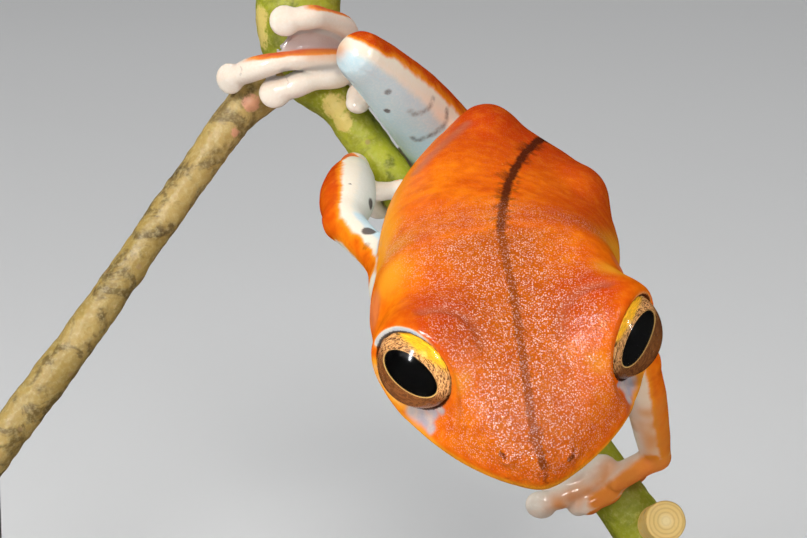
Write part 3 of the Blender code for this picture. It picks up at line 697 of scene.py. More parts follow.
def build_foot(side):
    """The right foot's three inner toes are under the others, and its outer webs full."""
    toes, start = TOES[side], INSTEP[side]
    mid = tuple(np.mean([np.asarray(t[0]) for t in toes], axis=0))
    add_limb("sole_" + side, [(start, 0.95, 0.7), (between(start, mid, 0.5), 1.1, 0.7),
                              (mid, 1.5, 0.7)], 0.4)
    right = side == "right"
    for k, points in enumerate(toes):
        add_digit("toe_" + side + ("_low" if right and k < 3 else ""),
                  [mid] + points if k in (1, 3) else points, TOE_RADIUS,
                  turn((0, 0, -1)) if right else off_branch(FOOT_STATION, points[-1]),
                  DISC_RADIUS * (0.75 if k < 2 else 1.0))
    for k, (first, second) in enumerate(zip(toes[:-1], toes[1:])):
        if right and k >= 2:
            reach, hollow = 0.97, 0.45
        else:
            reach, hollow = 0.78 if right else 0.62, 0.85
        merge(mesh_distance(web(first, second, reach, hollow)), 0.2)


# Lids: the half box they are shaped in, the gap round the eye and the rim's thickness
LID_REACH = 5.5
LID_GAP = 0.24
LID_TUBE = 0.17


def ear_centre(side):
    return head_point(TYMPANUM[0], TYMPANUM[1] * side + neck_shift(TYMPANUM[0]), TYMPANUM[2])


def face(side):
    """Eyelids, ear drum and nostril."""
    centre, axis = eye_centre(side), eye_axis(side)
    (x, y, z), a, b = around(centre, LID_REACH)
    high = (x * axis[0] + y * axis[1] + z * axis[2]).astype(np.float32)
    radius = math.sqrt(EYE_RADIUS ** 2 - LID_PLANE ** 2)
    out = np.sqrt(np.maximum(x ** 2 + y ** 2 + z ** 2 - high ** 2, 0.0))
    funnel = (out - radius - LID_GAP - LID_FLARE * (high - LID_PLANE)) / math.hypot(1.0, LID_FLARE)
    carve((np.maximum(funnel, LID_PLANE - high).astype(np.float32), a, b), 0.3)
    merge(hoop(centre + axis * LID_PLANE, axis, radius + LID_TUBE, LID_TUBE), 0.16)
    ear, away = ear_centre(side), unit(head_dir(-0.12, side, 0.28))
    merge(hoop(ear - away * 0.12, away, TYMPANUM_RADIUS, 0.2), 0.35)
    nose = head_point(*(NOSTRIL[side] * np.array([1, side, 1])))
    look = unit(head_dir(0.35, side * 0.8, 0.5))
    merge(ellipsoid(nose - look * 0.36, (FORWARD, LEFT, UP), (0.5, 0.44, 0.36)), 0.5)
    carve(ellipsoid(nose + look * 0.06, (unit(np.cross(look, UP)), unit(np.cross(look, FORWARD)),
                                         look), (0.27, 0.13, 0.42)), 0.1)


def mouth():
    """The line of the mouth between the lips."""
    flat = head_outline(7.98, 7.98)
    path = [head_point(x, y, lip_height(x)) for x, y in flat if x > -5.4]
    carve(string(path, 0.15), 0.1)


# Limbs in the order in which they join the body, and the fillet at their root
LIMBS = (("upper_arm", upper_arm, 0.9), ("forearm", forearm, 0.5), ("thigh", thigh, 1.0),
         ("shank", shank, 0.5), ("tarsus", tarsus, 0.4))
# Room that the flesh leaves round the eyes and the wood
EYE_ROOM = 0.01
WOOD_ROOM = 0.03


def build_flesh():
    merge(mesh_distance(skull()), 0.01)
    merge(mesh_distance(trunk()), 0.9)
    side_way, back_way = turn((0.88, -0.47, 0.0)), turn((0.1, 0.2, 0.97))
    for place, radius in SACRUM:
        merge(ellipsoid(plan(place), (side_way, back_way, np.cross(side_way, back_way)),
                        (radius * 1.15, radius * 2.3, radius)), 1.3)
    blur(LOW, (22.0, 20.0, 50.0), 0.33)
    nape, nape_reach = head_point(HEAD_BACK + 0.5, 0.0, 0.5), np.array([11.0, 7.0, 8.0])
    for _ in range(4):
        blur(nape - nape_reach, nape + nape_reach, 0.62, 3.0)
    for side in SIDES.values():
        centre, axis = eye_centre(side), eye_axis(side)
        across = unit(np.cross(axis, UP))
        high = np.cross(across, axis)
        merge(ellipsoid(head_point(-0.5, 4.35 * side, -0.5), (FORWARD, LEFT, UP),
                        (4.1, 3.5, 3.15)), 1.1)
        merge(ellipsoid(centre - axis * 0.2, (across, high, axis), (3.1, 3.1, 3.05)), 0.9)
    middle = head_point(0, 0, 0)
    blur(middle - 12.0, middle + 12.0, 0.22)
    for name in SIDES:
        for part, stations_of, blend in LIMBS:
            add_limb(part + "_" + name, stations_of(name), blend)
            if part == "shank":
                merge(mesh_distance(limb(heel_spur(name))), 0.3)
        build_hand(name)
        build_foot(name)
    for side in SIDES.values():
        face(side)
    mouth()
    # The eyes and the wood keep their room
    for side in SIDES.values():
        carve(ellipsoid(eye_centre(side), (FORWARD, LEFT, UP), (EYE_RADIUS + EYE_ROOM,) * 3), 0.05)
    for rows in (BRANCH, TWIG):
        path = course(rows, 8)
        carve(string(path[:, :3], path[:, 3] + WOOD_ROOM), 0.08)


build_flesh()


def extract():
    grid = vdb.FloatGrid(REACH)
    grid.transform = vdb.createLinearTransform(voxelSize=VOXEL)
    grid.copyFromArray(np.clip(space, -REACH, REACH), ijk=tuple(int(i) for i in FIRST))
    grid.gridClass = vdb.GridClass.LEVEL_SET
    points, quads = grid.convertToQuads(isovalue=0.0)
    return np.asarray(points, float), np.asarray(quads, np.int64)[:, ::-1]


def largest(points, quads):
    """Keep the largest connected surface."""
    label = np.arange(len(points))
    while True:
        low = label[quads].min(axis=1)
        new = label.copy()
        np.minimum.at(new, quads.ravel(), np.repeat(low, 4))
        new = new[new]
        if (new == label).all():
            break
        label = new
    names, counts = np.unique(label, return_counts=True)
    keep = label == names[counts.argmax()]
    index = np.cumsum(keep) - 1
    return points[keep], index[quads[keep[quads[:, 0]]]]


def edges_of(quads):
    e = np.vstack([quads[:, [0, 1]], quads[:, [1, 2]], quads[:, [2, 3]], quads[:, [3, 0]]])
    e.sort(axis=1)
    return np.unique(e, axis=0)


def relax(points, edges, rounds):
    """Even out the mesh; the second pass of each round gives back the volume."""
    count = np.bincount(edges.ravel(), minlength=len(points))[:, None]
    for _ in range(rounds):
        for step in (0.5, -0.52):
            total = np.zeros_like(points)
            for k in range(3):
                total[:, k] = (np.bincount(edges[:, 0], points[edges[:, 1], k], len(points))
                               + np.bincount(edges[:, 1], points[edges[:, 0], k], len(points)))
            points = points + (total / count - points) * step
    return points


def normals_of(points, quads):
    a, b, c, d = (points[quads[:, j]] for j in range(4))
    n = np.cross(c - a, d - b)
    out = np.zeros_like(points)
    for k in range(3):
        for j in range(4):
            out[:, k] += np.bincount(quads[:, j], n[:, k], len(points))
    return out / (np.linalg.norm(out, axis=1)[:, None] + 1e-12)


points, quads = largest(*extract())
edges = edges_of(quads)
points = relax(points, edges, 4)
normals = normals_of(points, quads)

# Places on the skin, found by looking along the line of sight of the fixed view
tree = BVHTree.FromPolygons([tuple(p) for p in points], [tuple(int(i) for i in q) for q in quads])
EYE_POINT = plan((0.0, 0.0, -CAMERA_DISTANCE))


def seen(x, y):
    """Skin point at a place of the fixed view, or None."""
    way = unit(turn(((x - VIEW_SIZE[0] / 2) / FOCAL, (VIEW_SIZE[1] / 2 - y) / FOCAL, 1.0)))
    hit = tree.ray_cast(Vector(EYE_POINT), Vector(way))[0]
    return None if hit is None else np.array(hit)


def seen_path(*places):
    """Skin points under a curve drawn in the view."""
    spots = [seen(x, y) for x, y in curve(places, 5)]
    return np.array([p for p in spots if p is not None])


def inside(path, reach):
    """Numbers of the skin points in a box round a path."""
    low, high = path.min(0) - reach, path.max(0) + reach
    return np.nonzero(((points > low) & (points < high)).all(axis=1))[0]


def path_distance(path, keep, radius=None):
    """Distance to a chain of segments, less its radius, place along it (0 to 1), and foot."""
    where = points[keep]
    best = np.full(len(where), 99.0)
    along = np.zeros(len(where))
    axis = np.zeros((len(where), 3))
    count = len(path) - 1
    for k in range(count):
        p, run = path[k], path[k + 1] - path[k]
        t = np.clip((where - p) @ run / (run.dot(run) + 1e-12), 0.0, 1.0)
        foot = p + t[:, None] * run
        d = np.linalg.norm(where - foot, axis=1)
        if radius is not None:
            d = d - (radius[k] + (radius[k + 1] - radius[k]) * t)
        better = d < best
        best[better] = d[better]
        along[better] = ((k + t) / count)[better]
        axis[better] = foot[better]
    return best, along, axis


def spot(place, radius, soft=0.5):
    """Round mark about a point, 1 inside and 0 outside."""
    if place is None:
        return np.zeros(len(points))
    d = np.linalg.norm(points - place, axis=1)
    return 1.0 - smooth(d, radius * (1 - soft), radius * (1 + soft))


def mark(path, half, soft=0.35):
    """Line of a given half width along a path on the skin."""
    out = np.zeros(len(points))
    if len(path) > 1:
        keep = inside(path, 2 * half + 0.3)
        out[keep] = fade(path_distance(path, keep)[0], half * (1 - soft), half * (1 + soft))
    return out


def speckle(scale, seed):
    """Smooth noise from -1 to 1 at every skin point; scale in mm."""
    shift = Vector((seed * 7.3, seed * 1.7, seed * 3.1))
    return np.array([noise.noise(Vector(p) / scale + shift) for p in points])


def mixed(a, b, f):
    return a * (1.0 - f) + b * f


# Marks on the skin, from 0 to 1 at each point
masks = {name: np.zeros(len(points)) for name in (
    "orange", "blue", "dark", "pink", "web", "yellow", "red", "brown", "grain", "speck", "tan",
    "lilac")}


def add(name, amount):
    """Raise a mask to an amount where it is lower."""
    masks[name] = np.maximum(masks[name], amount)


def lessen(name, share):
    masks[name] = masks[name] * (1.0 - share)


def strokes(name, soft, table, stroke_noise=1.0):
    """Draw curves of the view on a mask: half width, strength and places of each."""
    for half, strength, places in table:
        add(name, strength * mark(seen_path(*places), half, soft) * stroke_noise)


# Dorsal direction of each limb in the plan, where its orange begins and is full
STREAKS = {
    "upper_arm_right": ((-0.95, 0.25, -0.20), 0.50, 0.98),
    "forearm_right": ((-0.97, 0.00, -0.22), -0.02, 0.60),
    "palm_right": ((-0.60, 0.30, -0.60), 0.30, 0.70),
    "thigh_right": ((0.62, 0.76, -0.18), 0.52, 0.96),
    "shank_right": ((0.45, 0.88, 0.10), 0.10, 0.60),
    "tarsus_right": ((0.45, 0.88, 0.10), 0.00, 0.40),
    "sole_right": ((0.05, 0.95, -0.30), 0.10, 0.50),
    "toe_right": ((0.00, 0.97, -0.20), 0.30, 0.90),
    "upper_arm_left": ((0.90, 0.30, -0.20), 0.02, 0.80),
    "forearm_left": ((0.93, 0.05, -0.35), 0.10, 0.80),
    "palm_left": ((0.35, -0.90, -0.10), 0.0, 0.45),
    "finger_left": ((0.35, -0.90, -0.10), 0.62, 0.90),
    "thigh_left": ((0.60, 0.78, 0.10), 0.20, 0.50),
    "shank_left": ((0.50, 0.80, 0.30), 0.00, 0.40),
    "tarsus_left": ((0.50, 0.80, 0.30), 0.10, 0.50),
    "sole_left": ((0.60, 0.60, 0.40), 0.30, 0.60),
    "toe_left": ((0.60, 0.70, 0.30), 0.60, 0.90),
}

rough = speckle(0.9, 1.0)
fine = speckle(0.33, 2.0)
hx, hy, hz = head_coordinates(points)
hy = hy - neck_shift(hx)

# Trunk: station along it, and height and place across as shares of its section
rows, frames = trunk_rows(4)
station = np.argmin([abs((points - row[:3]) @ back)
                     + 0.02 * np.linalg.norm(points - row[:3], axis=1)
                     for row, (_, _, back) in zip(rows, frames)], axis=0)
ups = np.array([f[1] for f in frames])[station]
lefts = np.array([f[0] for f in frames])[station]
rel = points - rows[station, :3]
height = (rel * ups).sum(1)
height = height / np.where(height > 0, rows[station, 7], rows[station, 8])
across = (rel * lefts).sum(1) / rows[station, 6]

# Head and trunk: orange above the lip and the side's edge, pale below them
edge = hz - lip_height(hx)
behind = smooth(-hx, 6.5, 9.0)
masks["orange"] = mixed(smooth(edge + 0.06 * rough, -0.42, -0.12),
                        smooth(height + 0.06 * rough, -0.22, 0.08), behind)
masks["blue"] = mixed(0.15, smooth(-height, -0.3, 0.1) * smooth(-height, 0.9, 0.5), behind)
add("yellow", (1.0 - behind) * fade(abs(edge - 0.2), 0.2, 0.62) * 0.95)
add("yellow", behind * fade(abs(height - 0.2), 0.15, 0.55) * (0.35 + 0.6 * fade(station, 14, 24)))
add("brown", behind * fade(abs(height + 0.08), 0.03, 0.16) * 0.6)

# Limbs: an orange streak on the back of each, pale or cool sides, rosy hands and feet
digits = np.zeros(len(points))
for name, path, radius in lines:
    keep = inside(path, radius.max() + 1.2)
    if len(keep) == 0:
        continue
    d, along, axis = path_distance(path, keep, radius)
    kind = name.replace("_disc", "")
    here = fade(d, 0.2, 0.6)
    if kind.startswith("upper_arm"):
        here *= smooth(along, 0.12, 0.3)
    if kind.startswith("thigh"):
        here *= smooth(along, 0.0, 0.08)
    out = points[keep] - axis
    out /= np.linalg.norm(out, axis=1)[:, None] + 1e-9
    direction, start, full = STREAKS.get(kind, ((0.0, 0.9, -0.4), 0.9, 1.2))
    lean = out @ unit(turn(direction)) + 0.08 * rough[keep]
    streak = smooth(lean, start, full)
    cool = smooth(-lean, -start + 0.12, -start + 0.42) * 0.95
    rosy = 0.0
    if kind.startswith(("toe", "finger")):
        streak = streak * fade(along, 0.68, 0.95)
        rosy = 0.6
        cool *= 0.25
        digits[keep] = np.maximum(digits[keep], fade(d, -0.02, 0.16))
    if kind.startswith(("palm", "sole")):
        rosy = 0.7
        cool *= 0.4
    if name.endswith("_disc"):
        streak *= 0.0
    if kind.startswith("forearm"):
        cool *= 0.3
    if kind == "upper_arm_right":
        streak = streak * smooth(along, 0.3, 0.5)
    for mask, value in (("orange", streak), ("blue", cool), ("pink", rosy), ("brown", 0.0),
                        ("yellow", 0.0)):
        masks[mask][keep] = mixed(masks[mask][keep], value, here)

# Webs between the digits
for sheet in sheets:
    spots = sheet[:, 1:-1].reshape(-1, 3)
    keep = inside(spots, 0.5)
    if len(keep):
        d = np.min([np.linalg.norm(points[keep] - p, axis=1) for p in spots], axis=0)
        masks["web"][keep] = np.maximum(masks["web"][keep], fade(d, 0.28, 0.5))
lessen("web", digits)
strokes("web", 0.7, ((0.26, 0.8, ((284, 71), (300, 70), (320, 68), (337, 67))),
                     (0.34, 0.8, ((337, 67), (348, 80)))))

# Dark line down the middle of the back, from the snout to the vent
spine = seen_path((547, 483), (544, 468), (539, 450), (533, 425), (528, 395), (524, 365),
                  (519, 330), (514, 297), (507, 264), (502, 240), (501, 222), (504, 203),
                  (508, 185), (514, 171), (522, 158), (531, 147), (541, 139))
tail = [rows[k, :3] + frames[k][1] * rows[k, 7] for k in range(len(rows))
        if rows[k, :3] @ frames[k][2] > spine[-1] @ frames[k][2] + 0.6 and k > 24]
spine = np.vstack([spine, curve(tail, 3)])
snout = smooth(hx, 4.0, 6.5) * fade(hx, 7.0, 7.6)
smudge = speckle(0.55, 4.0)
add("dark", (1.0 - 0.5 * smooth(hx, 7.3, 8.0)) * mark(spine, 0.25, 0.9)
    * (0.75 + 0.35 * smooth(fine, -0.35, 0.3)))
add("dark", 0.6 * mark(spine, 0.62, 1.0) * smooth(smudge, -0.2, 0.3))
add("dark", 0.62 * snout * mark(spine, 0.85, 1.0) * smooth(smudge + fine, -0.5, 0.2))
add("dark", 0.36 * (1.0 - behind) * mark(spine, 3.6, 1.0))
for place, size in (((503, 176), 0.55), ((518, 168), 0.45), ((500, 207), 0.4), ((511, 262), 0.4)):
    add("dark", 0.42 * spot(seen(*place), size, 0.9) * smooth(smudge, -0.3, 0.2))

# Bars and spots on the hidden surfaces of the limbs, with painted shade in a faint line near the
# right knee and in the grooves behind two toe discs
strokes("dark", 1.0, (
    (0.24, 0.36, ((433, 98), (430, 106), (423, 112), (414, 114), (410, 111))),
    (0.24, 0.42, ((447, 110), (446, 122), (440, 129), (431, 135), (418, 140), (413, 138))),
    # Painted shade: a faint line near the right knee
    (0.14, 0.16, ((357, 68), (370, 73), (379, 80), (386, 79))),
    # Painted shade in the grooves behind two toe discs
    (0.06, 0.35, ((240, 66), (242, 70), (240, 75))),
    (0.06, 0.35, ((285, 75), (288, 82), (286, 89)))), 0.85 + 0.3 * smooth(fine, -0.3, 0.3))
for place, size, strength in (((388, 92), 0.26, 0.5), ((387, 111), 0.24, 0.62),
                              ((371, 204), 0.36, 0.8), ((369, 231), 0.44, 0.95),
                              ((366, 246), 0.35, 0.35), ((350, 184), 0.09, 0.7)):
    add("dark", strength * spot(seen(*place), size, 0.45))

# Left hand and arm: orange outer edge, tan stains and a brown edge on the hand; painted shade in
# brown on the arm's inner face and along the trunk beside the right thigh, and in tan at the roots
# of the right foot's toes
strokes("orange", 0.95, (
    (0.62, 0.9, ((652, 460), (640, 471), (626, 482), (610, 493), (597, 501))),
    (0.3, 0.35, ((610, 472), (600, 483), (585, 493), (571, 500)))))
strokes("tan", 1.0, (
    (0.7, 1.0, ((613, 467), (600, 480), (585, 490), (570, 500), (556, 506))),
    (1.1, 0.9, ((640, 468), (620, 482), (600, 494))),
    (1.5, 0.95, ((652, 415), (656, 432), (661, 448), (664, 462))),
    (0.9, 0.45, ((640, 380), (647, 400), (652, 415))),
    # Painted shade: tan at the roots of the right foot's toes
    (0.5, 0.75, ((310, 52), (325, 52), (342, 50))),
    (0.4, 0.5, ((290, 40), (310, 38), (330, 40), (343, 45)))))
masks["tan"] = masks["tan"] * (0.8 + 0.4 * rough)
# Brown: painted shade on the left arm's inner face and along the trunk beside the right thigh, and
# the hand's brown edge between them
strokes("brown", 0.9, ((0.3, 0.45, ((628, 402), (629, 414), (634, 428))),
                       (0.25, 0.5, ((596, 487), (585, 493), (571, 500))),
                       (0.34, 0.75, ((466, 124), (447, 141), (431, 156), (416, 172)))))
lessen("orange", 0.85 * spot(seen(349, 160), 0.4, 0.6))


# Face: pale patch under the eye, yellow corners, reddish lids, pale rim of the upper lid, and
# painted shade in the folds behind the lid mounds and in the nostrils
def on_head(x, y):
    """Head coordinates of a place seen on the right side, taken again on the left."""
    return np.array([float(c[0]) for c in head_coordinates(seen(x, y))])


def on_side(place, side):
    """Skin point at head coordinates of the right side, or at their mirror image."""
    return head_point(*(np.asarray(place) * (1, -side, 1)))


CHEEK = ((on_head(413, 411), 0.34), (on_head(421, 413), 0.5), (on_head(428, 420), 0.42),
         (on_head(431, 428), 0.28), (on_head(432, 412), 0.4), (on_head(440, 410), 0.26))
CORNER = ((on_head(459, 384), 0.6), (on_head(465, 378), 0.35))
FOLD = [on_head(*place) for place in curve(((422, 310), (436, 308), (452, 310), (467, 317),
                                            (479, 330), (484, 345)), 3)]
# Distances of the lid's pale rim and of its dark edge from the eye's axis
LID_RING, LID_EDGE = 2.66, 2.49
MOUND, MOUND_GRAINS = (-0.9, -4.2, 2.0), (0.6, -3.4, 2.4)
NOSTRIL_SLIT = {-1: ((501, 454), (505, 458)), 1: ((573, 456), (569, 460))}
fold = np.zeros(len(points))
for side in SIDES.values():
    cheek = np.zeros(len(points))
    for place, size in CHEEK:
        cheek = np.maximum(cheek, spot(on_side(place, side), size * 1.2, 0.95))
    cheek = smooth(cheek + 0.12 * fine * (cheek > 0.02), 0.0, 0.95)
    add("lilac", 0.9 * cheek)
    fold = np.maximum(fold, mark(np.array([on_side(p, side) for p in FOLD]), 0.36, 0.9))
    lessen("yellow", cheek)
    for place, size in CORNER:
        add("yellow", 0.6 * spot(on_side(place, side), size, 0.9))
    add("red", 0.95 * spot(on_side(MOUND, side), 2.5, 0.5))
    # Grains on the lid mound, with their painted glints
    add("grain", 0.8 * spot(on_side(MOUND_GRAINS, side), 1.8, 0.6))
    # Height over the lid's plane, distance from the eye's axis, and the way round it
    axis = eye_axis(side)
    q = points - eye_centre(side) - axis * LID_PLANE
    h = q @ axis
    flat = q - h[:, None] * axis
    radial = np.linalg.norm(flat, axis=1)
    upper, ahead = flat @ UP / (radial + 1e-9), flat @ FORWARD / (radial + 1e-9)
    rim = np.hypot(radial - LID_RING, h - 0.03)
    wide = (0.09 + 0.12 * smooth(-ahead, -0.3, 0.6)) * (1.0 if side < 0 else 0.55)
    lid = (fade(rim, wide - 0.05, wide + 0.06)
           * smooth(upper + 0.9 * smooth(ahead, 0.0, 0.5), 0.05, 0.3))
    low_lid = (fade(rim, 0.2, 0.75) * smooth(-upper, 0.0, 0.4) * smooth(-ahead, -0.7, 0.1))
    brow = 0.07 * smooth(upper, 0.0, 0.5) * smooth(-ahead, -0.2, 0.5)
    lessen("orange", 0.95 * lid)
    lessen("blue", lid)
    lessen("red", lid)
    add("lilac", lid * (0.6 + 0.4 * smooth(ahead, -0.8, -0.2)))
    add("yellow", 0.9 * low_lid)
    lessen("orange", 0.4 * low_lid)
    add("dark", fade(np.hypot(radial - LID_EDGE, h - 0.02), 0.09 + brow, 0.17 + brow))
    add("pink", 0.8 * spot(ear_centre(side), 1.15, 0.4))
    # Painted shade: the nostril's opening is darkened
    add("dark", mark(seen_path(*NOSTRIL_SLIT[side]), 0.13, 0.5))
# Painted shade: the fold behind each lid mound is darkened in brown as well as sunk
add("brown", 0.55 * fold)

# Fine grains on the upper skin, kept off the eyelids; they also set where the painted glints fall
orange, on_face = masks["orange"], 1.0 - behind
top = smooth(normals @ UP, 0.15, 0.6) * on_face * fade(hx, 7.1, 7.6)
add("grain", top * fade(abs(hy), 2.2, 3.6))
add("grain", 0.7 * top * fade(abs(hy), 3.0, 6.5))
add("grain", 0.5 * on_face * smooth(edge, 0.8, 1.6) * smooth(hx, 2.0, 4.0))
add("grain", 0.6 * behind * smooth(height, 0.2, 0.7) * fade(station, 9, 15))
add("grain", 0.06 * behind * smooth(height, 0.0, 0.5))
grain = np.clip(masks["grain"] * orange, 0.0, 1.0)
for side in SIDES.values():
    lid_centre = eye_centre(side) + eye_axis(side) * LID_PLANE
    grain = grain * smooth(np.linalg.norm(points - lid_centre, axis=1), 2.75, 3.1)
masks["grain"] = grain

# Yellow spots of the side, painted shade as deeper red on the rump and the left back, and pale
# specks on the back
for place, size in (((387, 235), 1.3), ((388, 255), 1.5), ((390, 275), 1.3), ((612, 250), 1.0),
                    ((614, 270), 1.0)):
    add("yellow", 0.85 * orange * spot(seen(*place), size, 0.8))
add("red", 0.3 * smooth(rough, 0.1, 0.6))
# Painted shade: the rump and the left back are deepened to red
add("red", 0.9 * behind * smooth(station, 16, 30))
add("red", 0.7 * behind * smooth(across, 0.0, 0.7) * smooth(height, 0.1, 0.4))
masks["red"] = masks["red"] * orange
masks["speck"] = behind * smooth(height, 0.0, 0.5) * smooth(station, 14, 24)

# Small relief: grains and soft unevenness, kept off the lids' edges
relief = (0.010 * fine * (0.3 + grain) + 0.02 * rough * (0.4 + 0.6 * (1.0 - masks["pink"]))
          - 0.16 * fold)
for side in SIDES.values():
    d = abs(np.linalg.norm(points - eye_centre(side), axis=1) - EYE_RADIUS)
    relief = relief * smooth(d, 0.02, 0.12)
points = points + normals * relief[:, None]


def as_object(name, mesh):
    mesh.shade_smooth()
    obj = bpy.data.objects.new(name, mesh)
    scene.collection.objects.link(obj)
    return obj


def skin_mesh(name, verts, faces):
    mesh = bpy.data.meshes.new(name)
    mesh.vertices.add(len(verts))
    mesh.vertices.foreach_set("co", (verts * METRE).ravel().astype(np.float32))
    mesh.loops.add(faces.size)
    mesh.loops.foreach_set("vertex_index", faces.ravel().astype(np.int32))
    mesh.polygons.add(len(faces))
    mesh.polygons.foreach_set("loop_start", np.arange(0, faces.size, 4, dtype=np.int32))
    mesh.update(calc_edges=True)
    mesh.validate()
    return as_object(name, mesh)


def store(obj, name, values):
    layer = obj.data.attributes.new(name, "FLOAT", "POINT")
    layer.data.foreach_set("value", np.asarray(values, np.float32))


def dress(obj, look, slot, *nodes):
    """Give a piece its material, and its place in the model."""
    obj.data.materials.append(look)
    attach(obj, "root")
    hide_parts(*nodes)


class Nodes:
    """A material and short calls for its nodes."""

    def __init__(self, name):
        self.material = bpy.data.materials.new(name)
        self.material.use_nodes = True
        self.tree = self.material.node_tree
        self.shader = self.tree.nodes["Principled BSDF"]
        self.place = self.make("TexCoord").outputs["Object"]

    def link(self, value, socket):
        if isinstance(value, bpy.types.NodeSocket):
            self.tree.links.new(value, socket)
        else:
            socket.default_value = value

    def make(self, kind, inputs=(), **settings):
        node = self.tree.nodes.new("ShaderNode" + kind)
        for key, value in settings.items():
            setattr(node, key, value)
        for key, value in dict(inputs).items():
            self.link(value, node.inputs[key])
        return node

    def mask(self, name, share=None):
        value = self.make("Attribute", attribute_name=name).outputs["Fac"]
        return value if share is None else self.times(value, share)

    def noise(self, scale, detail=2.0, roughness=0.5, distortion=0.0, vector=None):
        node = self.make("TexNoise", {"Vector": vector or self.place, "Scale": scale,
                                      "Detail": detail, "Roughness": roughness,
                                      "Distortion": distortion})
        return node.outputs["Fac"]

    def cells(self, scale, feature="F1"):
        """Distance from the nearest cell's centre, and the cell's random colour."""
        node = self.make("TexVoronoi", {"Vector": self.place, "Scale": scale}, feature=feature)
        return node.outputs["Distance"], node.outputs["Color"]

    def channel(self, colour, number):
        return self.make("SeparateColor", {0: colour}).outputs[number]

    def math(self, operation, a, b=0.0):
        return self.make("Math", {0: a, 1: b}, operation=operation).outputs[0]

    def plus(self, a, b):
        return self.math("ADD", a, b)

    def minus(self, a, b):
        return self.math("SUBTRACT", a, b)

    def times(self, a, b):
        return self.math("MULTIPLY", a, b)

    def ramp(self, value, low, high, a=0.0, b=1.0):
        node = self.make("MapRange", {"Value": value, "From Min": low, "From Max": high,
                                      "To Min": a, "To Max": b}, interpolation_type="SMOOTHSTEP")
        return node.outputs["Result"]

    def mix(self, factor, a, b):
        node = self.make("Mix", data_type="RGBA")
        self.link(factor, node.inputs[0])
        for value, socket in ((a, node.inputs[6]), (b, node.inputs[7])):
            self.link(value if isinstance(value, bpy.types.NodeSocket) else (*value, 1.0), socket)
        return node.outputs[2]

    def bump(self, height, distance, strength=1.0, normal=None):
        inputs = {"Height": height, "Distance": distance, "Strength": strength}
        if normal is not None:
            inputs["Normal"] = normal
        return self.make("Bump", inputs).outputs["Normal"]

    def finish(self, colour, roughness, normal=None, **constants):
        self.link(colour, self.shader.inputs["Base Color"])
        self.link(roughness, self.shader.inputs["Roughness"])
        if normal is not None:
            self.link(normal, self.shader.inputs["Normal"])
        for key, value in constants.items():
            key = key.replace("_", " ").title().replace("Ior", "IOR")
            self.shader.inputs[key].default_value = value
        return self.material


